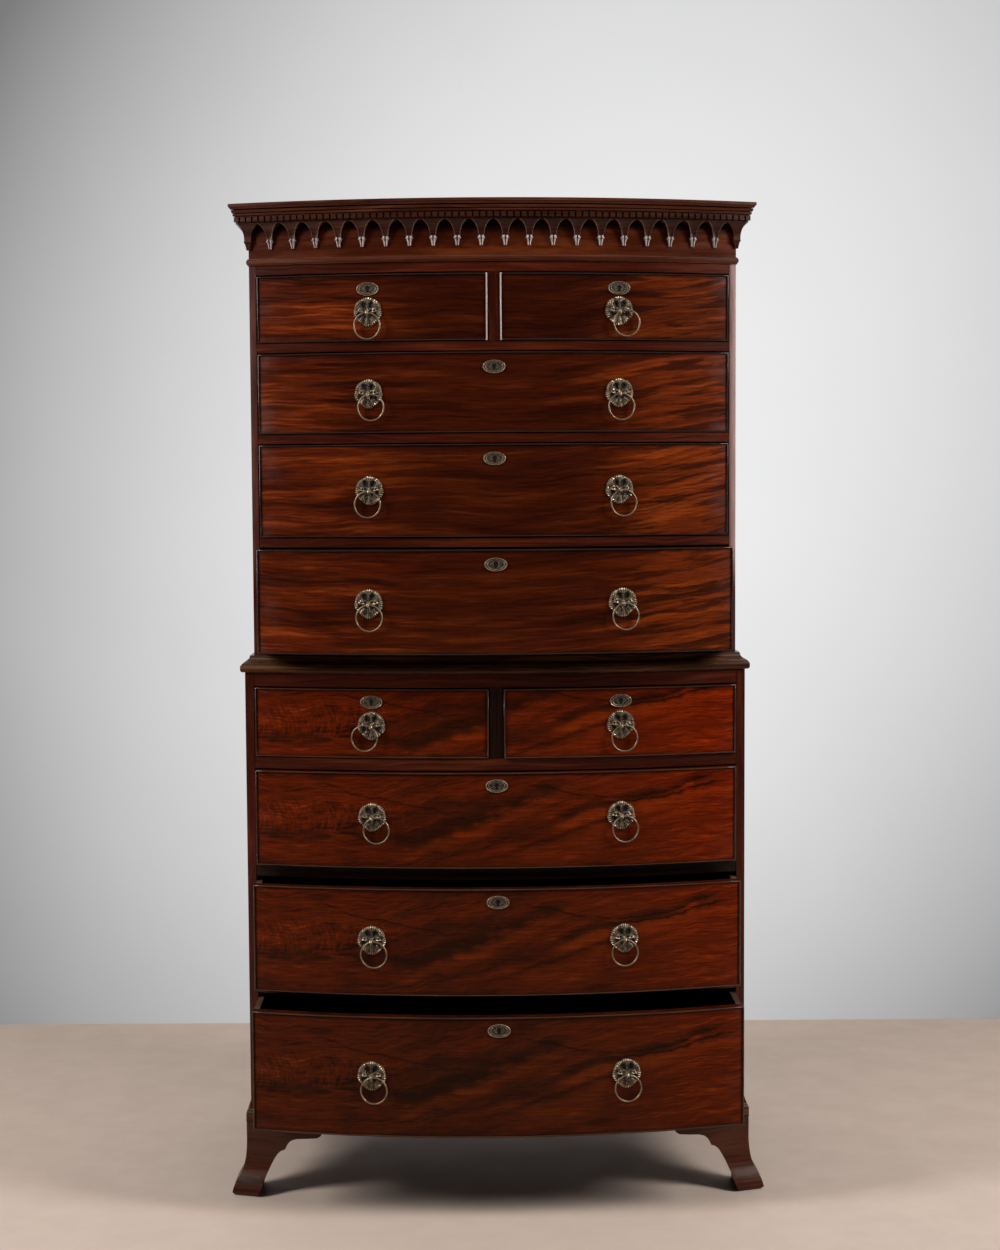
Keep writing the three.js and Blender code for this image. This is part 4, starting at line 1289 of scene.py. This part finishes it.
class CHEST_OT_drawers(ChestOperator, bpy.types.Operator):
    """Makes the drawer fronts with their cock beads, and finishes the drawer boxes"""

    bl_idname = "chest.drawers"
    bl_label = "Drawers"

    inset = Vector((0.7 * MM, 0.0, 0.5 * MM))

    def bead(self, bm, bow, low, high, pulled):
        """A rounded strip round the front, mitred at its corners."""
        width, height = self.sizes.bead_width, self.sizes.bead_height
        profile = [
            (-1.5 * MM, width), (height * 0.5, width), (height * 0.86, width * 0.86),
            (height, width * 0.58), (height, width * 0.42), (height * 0.86, width * 0.14),
            (height * 0.5, 0.0), (-1.5 * MM, 0.0),
        ]

        def place_at(share, top):
            def place(out, inset):
                x = low.x + inset + share * (high.x - low.x - 2 * inset)
                z = high.z - inset if top else low.z + inset
                return Vector((x, bow.y(x, out) - pulled, z))

            return place

        shares = spread(0, 1, self.sizes.steps)
        below = [place_at(share, False) for share in shares]
        above = [place_at(share, True) for share in reversed(shares)]
        sweep(bm, profile, below + above, closed=True)

    def execute(self, context):
        sizes = self.sizes
        for drawer in DRAWERS:
            bow, pulled = bow_of(drawer), pulled_out(drawer)
            node = f"{drawer}_front"
            low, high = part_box(node)
            low, high = low + self.inset, high - self.inset
            bm = bmesh.new()
            boarded(
                bm, bow, low.x, high.x, 0.0, low.z, high.z, thickness=sizes.front_board,
                steps=sizes.steps, pulled=pulled,
            )
            finish_piece(
                f"{drawer}_front_board", bm, drawer,
                [f"veneer {drawer.replace('_', ' ')}"], [node], 0.2 * MM,
            )
            bm = bmesh.new()
            self.bead(bm, bow, low, high, pulled)
            finish_piece(
                f"{drawer}_cock_bead", bm, drawer,
                [f"{drawer.split('_')[0]} bead"], crease=math.radians(60),
            )
            box = frame["nodes"][f"{drawer}_box"]
            box.data.materials.clear()
            box.data.materials.append(bpy.data.materials["drawer lining"])
        return {"FINISHED"}


class CHEST_OT_brass(ChestOperator, bpy.types.Operator):
    """Makes the rosettes, the eyes, the rings and the keyhole plates"""

    bl_idname = "chest.brass"
    bl_label = "Brass"

    # Each leaf's direction and half spread in degrees.
    lobes = (
        (90, 24), (38, 27), (142, 27), (-14, 25), (194, 25), (-58, 20), (238, 20), (270, 17),
    )
    # Each pair of hollows by its place, size and depth.
    hollows = ((0.27, 0.47, 0.25, 0.62), (0.55, -0.2, 0.2, 0.5), (0.2, -0.3, 0.13, 0.35))
    rings, spokes = 22, 114
    neck = [(0, -0.5), (4.6, 2.5), (3.3, 5.0), (2.9, 7.6), (0, 7.8)]
    hoop = [(2.4, -2.4), (3.6, -2.7), (4.6, -1.7), (4.9, 0), (4.6, 1.7), (3.6, 2.7), (2.4, 2.4)]
    rim = [
        (1.0, 0.0), (1.0, 1.1), (0.97, 1.8), (0.93, 2.2), (0.88, 1.7), (0.84, 1.1), (0.77, 1.2),
        (0.73, 1.9), (0.68, 1.4), (0.63, 1.0), (0.52, 1.15),
    ]
    slot_angles = (238, 242, 246, 250, 254, 257.6, 264, 276, 282.4, 286, 290, 294, 298, 302)
    hole_radius, slot_half, slot_reach, hole_rise = 4.7, 2.7, 10.6, 1.6 * MM

    def face_matrix(self, bow, x, z, pulled):
        """Local X across, local Y up and local Z out of the front."""
        up, out = Vector((0, 0, 1)), bow.normal(x)
        return placed(bow.at(x, 0.0, z) - Vector((0, pulled, 0)), up.cross(out), up, out)

    def leaf(self, angle, share):
        """Height of the rosette and how far it catches the light, both 0 to 1."""
        degrees = math.degrees(angle) % 360
        best = 0.0
        for centre, half_spread in self.lobes:
            gap = abs((degrees - centre + 180) % 360 - 180) / half_spread
            if gap < 1:
                best = max(best, math.cos(gap * math.pi / 2) ** 0.6)
        fine = 0.5 + 0.5 * math.cos(38 * angle)
        bead = math.exp(-((share - 0.92) / 0.07) ** 2)
        crown = math.sin(min(1.0, share * 1.04) ** 1.25 * math.pi) ** 0.6
        rim = min(1.0, max(0.0, (1 - share) / 0.06)) ** 0.6
        height = 0.16 + rim * best * (0.44 * crown + 0.2 * share)
        height += 0.17 * fine * share * best + 0.22 * bead * fine
        light = 0.2 + 0.46 * fine * share ** 0.7 * best + 0.5 * bead * fine
        across_x, up = share * math.cos(angle), share * math.sin(angle)
        for side in SIDES:
            for x, z, size, depth in self.hollows:
                near = max(0.0, 1 - (math.hypot(across_x - side * x, up - z) / size) ** 2)
                height -= depth * near
                light -= 0.95 * near
            curl = math.hypot(across_x - side * 0.5, up - 0.08)
            ridge = math.exp(-((curl - 0.11) / 0.05) ** 2)
            height += 0.3 * ridge
            light += 0.45 * ridge
        boss = max(0.0, 1 - (share / 0.2) ** 2)
        return max(0.04, min(1.0, height + 0.35 * boss)), clamped(light + 0.5 * boss)

    def rosette(self, bm, matrix, seed):
        radius, relief, rings = self.sizes.rosette, self.sizes.rosette_relief, self.rings
        angles = [2 * math.pi * i / self.spokes for i in range(self.spokes)]

        def edge(angle):
            scallop = 0.5 + 0.5 * math.cos(angle * 38)
            lobes = abs(math.cos(3.5 * (angle - math.pi / 2)))
            bottom = max(0.0, -math.sin(angle))
            chin = 0.075 * bottom ** 12 - 0.1 * bottom ** 2 * (1 - bottom ** 12)
            return radius * (0.9 + 0.05 * scallop + 0.05 * lobes + chin)

        def grit(angle, share):
            ring = Vector((math.cos(angle), math.sin(angle), seed))
            return noise.noise(ring * 3.1 * (0.3 + share))

        def place_at(angle):
            def place(index):
                share = index / rings
                reach = edge(angle) * share
                height = relief * 0.1
                if index < rings:
                    raised_by = self.leaf(angle, share)[0] + 0.07 * grit(angle, share)
                    height = relief * max(0.03, raised_by)
                elif index > rings:
                    reach = edge(angle) if index == rings + 1 else 0.0
                    height = -0.8 * MM
                return matrix @ Vector((reach * math.cos(angle), reach * math.sin(angle), height))

            return place

        def light(number, index):
            angle, share = angles[number], min(1.0, index / rings)
            return clamped(self.leaf(angle, share)[1] + 0.25 * grit(angle, share))

        places = [place_at(angle) for angle in angles]
        sweep(bm, numbered(rings + 3), places, closed=True, light=light)

    def eye(self, bm, matrix, hinge_matrix):
        """A knuckle on a short neck, which the ring passes through."""
        for profile, steps, place in ((self.neck, 16, matrix), (self.hoop, 20, hinge_matrix)):
            turned(bm, [(radius * MM, z * MM) for radius, z in profile], steps, place)

    def hole(self, angle):
        """Radius of the keyhole's outline: a round with a slot below it."""
        slot = abs(math.degrees(angle) % 360 - 270)
        if slot < 16:
            reach = self.slot_half / max(0.05, math.sin(math.radians(slot)))
            return min(self.slot_reach, reach) * MM
        return max(self.hole_radius, self.slot_half / math.sin(math.radians(min(slot, 90)))) * MM

    def key_plate(self, bow, x, z, pulled):
        bm = bmesh.new()
        width, height = self.sizes.key_width / 2, self.sizes.key_height / 2
        inner = len(self.rim)

        def place_at(angle):
            ca, sa = math.cos(angle), math.sin(angle)

            def place(index):
                """The rim, then the hole's edge, wall and bottom, then the back of the plate."""
                if index < inner:
                    share, out = self.rim[index]
                    flat = (width * share * ca, height * share * sa)
                elif index == inner + 4:
                    flat, out = (width * ca, height * sa), -1.0
                else:
                    reach = self.hole(angle) if index < inner + 2 else 0.0
                    out = (1.35, 0.3, 0.3, -1.0)[index - inner]
                    flat = (reach * ca, reach * sa + self.hole_rise)
                here = x - flat[0] * bow.normal(x).y
                return bow.at(here, out * MM, z + flat[1]) - Vector((0, pulled, 0))

            return place

        angles = sorted({*(7.5 * i for i in range(48)), *self.slot_angles})
        places = [place_at(math.radians(angle)) for angle in angles]
        sweep(bm, numbered(inner + 5), places, closed=True)
        back = self.face_matrix(bow, x, z, pulled).inverted()
        light_up(bm, bm.verts, lambda vert: clamped(((back @ vert.co).z / MM - 0.55) / 2.4))
        rank = bm.verts.layers.int["rank"]
        # The keyhole's edge, wall and bottom take the painted shade.
        for face in bm.faces:
            if all(inner <= vert[rank] <= inner + 2 for vert in face.verts):
                face.material_index = 1
        return bm

    def pull(self, ring, hinge, count):
        """The rosette and eye on the drawer, and the ring that swings in the eye."""
        sizes, drawer = self.sizes, hinge["parent"]
        bow = bow_of(drawer)
        place, axis = Vector(hinge["pos_m"]), Vector(hinge["axis"]).normalized()
        x = bow.radius * (place.x / (bow.radius + 10 * MM))
        out = bow.normal(x)
        matrix = self.face_matrix(bow, x, place.z + 3 * MM, pulled_out(drawer))
        down = axis.cross(out)
        down = down if down.z < 0 else -down
        bm = bmesh.new()
        self.rosette(bm, matrix, count * 1.7)
        before = set(bm.verts)
        lowered = matrix @ Matrix.Translation((0, -3 * MM, 0))
        self.eye(bm, lowered, placed(place, out, axis.cross(out), axis))
        light_up(bm, set(bm.verts) - before, lambda vert: 0.62)
        crease = math.radians(70)
        rosette = ring.replace("ring", "rosette")
        finish_piece(rosette, bm, drawer, ["rosette brass"], crease=crease)
        bm = bmesh.new()
        centre = place + down * (sizes.ring * math.cos(math.pi / 14))
        wire = [
            (sizes.ring + 0.86 * sizes.wire * math.cos(a), 0.86 * sizes.wire * math.sin(a))
            for a in spread(0, 2 * math.pi * 11 / 12, 11)
        ]
        turned(bm, wire, 64, placed(centre, axis, down, axis.cross(down)))
        light_up(bm, bm.verts, lambda vert: 0.5)
        finish_piece(f"{ring}_loop", bm, ring, ["ring brass"], [ring], crease=crease)

    def execute(self, context):
        for count, (ring, hinge) in enumerate(HINGES.items()):
            self.pull(ring, hinge, count)
        for drawer in DRAWERS:
            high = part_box(f"{drawer}_front")[1]
            x = {"left": -250 * MM, "right": 250 * MM}.get(drawer.split("_")[2], 0.0)
            z = high.z - (30 if drawer.startswith("upper") else 27) * MM
            bm = self.key_plate(bow_of(drawer), x, z, pulled_out(drawer))
            finish_piece(
                f"{drawer}_key_plate", bm, drawer, ["key brass", "keyhole shade"],
                crease=math.radians(50),
            )
        return {"FINISHED"}


class CHEST_OT_stage(ChestOperator, bpy.types.Operator):
    """Sets the floor, the wall, the lamps and the camera"""

    bl_idname = "chest.stage"
    bl_label = "Stage"

    # Where the wall stands, at its left and right end, and how high it is.
    wall_left, wall_right, wall_height = (-9, 1.3155), (9, 1.0155), 7
    camera_place = (-0.0613, -4.2897, 1.4477)
    camera_lens = 58.94
    camera_turn = (0.984, 3.896, -0.337)  # yaw, pitch and roll in degrees
    # Each lamp's place, what it points at, its width and height, and its power.
    lamps = {
        "soft_left": ((-3.9, -1.7, 3.3), (0, -0.1, 1.0), 1.3, 2.2, 250),
        "soft_right": ((3.9, -1.7, 3.3), (0, -0.1, 1.0), 1.3, 2.2, 265),
        "soft_top": ((0.0, -2.0, 4.4), (0, -0.1, 0.8), 3.2, 1.6, 25),
    }

    def plane(self, name, corners, finish):
        bm = bmesh.new()
        bm.faces.new([bm.verts.new(corner) for corner in corners])
        mesh = bpy.data.meshes.new(name)
        bm.to_mesh(mesh)
        bm.free()
        piece = bpy.data.objects.new(name, mesh)
        bpy.context.scene.collection.objects.link(piece)
        mesh.materials.append(bpy.data.materials[finish])

    def backdrop(self, tone):
        """A plain wall, which the camera and reflections see glowing with painted light: an even
        level that falls off to the sides.
        """
        shader, place = new_material("wall with painted light")
        tree = place.tree
        feed(shader, {"Base Color": (*tone, 1), "Roughness": 0.9})
        x, z = (parts_of(place)[axis] for axis in "XZ")
        # Painted light: the glow's level, falling off to the sides and above.
        rise = z * -0.115 + (x * 0.056 + 0.338)
        across_x = x * (0.0195 - x * 0.168)
        level = z * rise + across_x + ranged(noised(place, 1.3, 3.0), 0.3, 0.7, 0.592, 0.612)
        level = smaller(larger(level, 0.2), 0.84)
        colour = combined(level, level, level * 1.01)
        painted_glow = add_node(tree, "ShaderNodeEmission", {"Color": colour})[0]
        path = add_node(tree, "ShaderNodeLightPath")

        def either(share, first, second):
            return add_node(tree, "ShaderNodeMixShader", {0: share, 1: first, 2: second})[0]

        seen = larger(path["Is Camera Ray"], path["Is Glossy Ray"])
        wall = either(seen, Value(shader.outputs[0]), painted_glow)
        # Seen from behind the wall is clear, so that the back of the chest shows.
        behind = path["Is Camera Ray"] * geometry(tree, "Backfacing")
        clear = add_node(tree, "ShaderNodeBsdfTransparent")[0]
        feed(tree.nodes["Material Output"], {"Surface": either(behind, wall, clear)})

    def lamp(self, name, place, target, width, height, power):
        light = bpy.data.lights.new(name, "AREA")
        light.shape, light.energy = "RECTANGLE", power
        light.size, light.size_y = width, height
        lamp = bpy.data.objects.new(name, light)
        lamp.location = place
        lamp.rotation_euler = (Vector(target) - Vector(place)).to_track_quat("-Z", "Y").to_euler()
        bpy.context.scene.collection.objects.link(lamp)

    def camera(self):
        data = bpy.data.cameras.new("camera")
        data.lens, data.sensor_width, data.clip_end = self.camera_lens, 36.0, 60.0
        camera = bpy.data.objects.new("camera", data)
        yaw, pitch, roll = (math.radians(angle) for angle in self.camera_turn)
        ahead = Vector((
            math.sin(yaw) * math.cos(pitch), math.cos(yaw) * math.cos(pitch), -math.sin(pitch),
        ))
        level = Vector((math.cos(yaw), -math.sin(yaw), 0.0))
        plumb = level.cross(ahead)
        right = math.cos(roll) * level + math.sin(roll) * plumb
        up = -math.sin(roll) * level + math.cos(roll) * plumb
        camera.matrix_world = placed(self.camera_place, right, up, -ahead)
        bpy.context.scene.collection.objects.link(camera)
        bpy.context.scene.camera = camera

    def execute(self, context):
        tint = self.colours
        self.backdrop(tint.wall)
        make_plain("plain floor", tint.floor, 0.7, 9.0, 0.05)
        left, right, height = self.wall_left, self.wall_right, self.wall_height
        floor = [(-9, -9, 0), (9, -9, 0), (*right, 0), (*left, 0)]
        self.plane("floor", floor, "plain floor")
        wall = [(*left, 0), (*right, 0), (*right, height), (*left, height)]
        self.plane("wall", wall, "wall with painted light")
        for name, lamp in self.lamps.items():
            self.lamp(name, *lamp)
        world = bpy.data.worlds.new("studio")
        bpy.context.scene.world = world
        world.use_nodes = True
        light = {"Color": (0.9, 0.95, 1.0, 1), "Strength": 0.035}
        feed(world.node_tree.nodes["Background"], light)
        bpy.context.scene.view_settings.view_transform = "Standard"
        self.camera()
        return {"FINISHED"}


OPERATORS = (
    CHEST_OT_finishes, CHEST_OT_feet, CHEST_OT_carcass, CHEST_OT_mouldings, CHEST_OT_frieze,
    CHEST_OT_cornice, CHEST_OT_drawers, CHEST_OT_brass, CHEST_OT_stage,
)


class CHEST_PT_panel(bpy.types.Panel):
    bl_idname = "CHEST_PT_panel"
    bl_label = "Chest on chest"
    bl_space_type = "VIEW_3D"
    bl_region_type = "UI"
    bl_category = "Chest"

    def draw(self, context):
        layout = self.layout
        for operator in OPERATORS:
            layout.operator(operator.bl_idname)
        for settings in (context.scene.chest_sizes, context.scene.chest_colours):
            box = layout.box()
            for name in settings.__annotations__:
                box.prop(settings, name)


CLASSES = (ChestSizes, ChestColours, *OPERATORS, CHEST_PT_panel)


def register():
    for cls in CLASSES:
        bpy.utils.register_class(cls)
    bpy.types.Scene.chest_sizes = PointerProperty(type=ChestSizes)
    bpy.types.Scene.chest_colours = PointerProperty(type=ChestColours)


def unregister():
    del bpy.types.Scene.chest_colours
    del bpy.types.Scene.chest_sizes
    for cls in reversed(CLASSES):
        bpy.utils.unregister_class(cls)


def main():
    register()
    for operator in OPERATORS:
        getattr(bpy.ops.chest, operator.bl_idname.split(".")[1])()


if __name__ == "__main__":
    main()
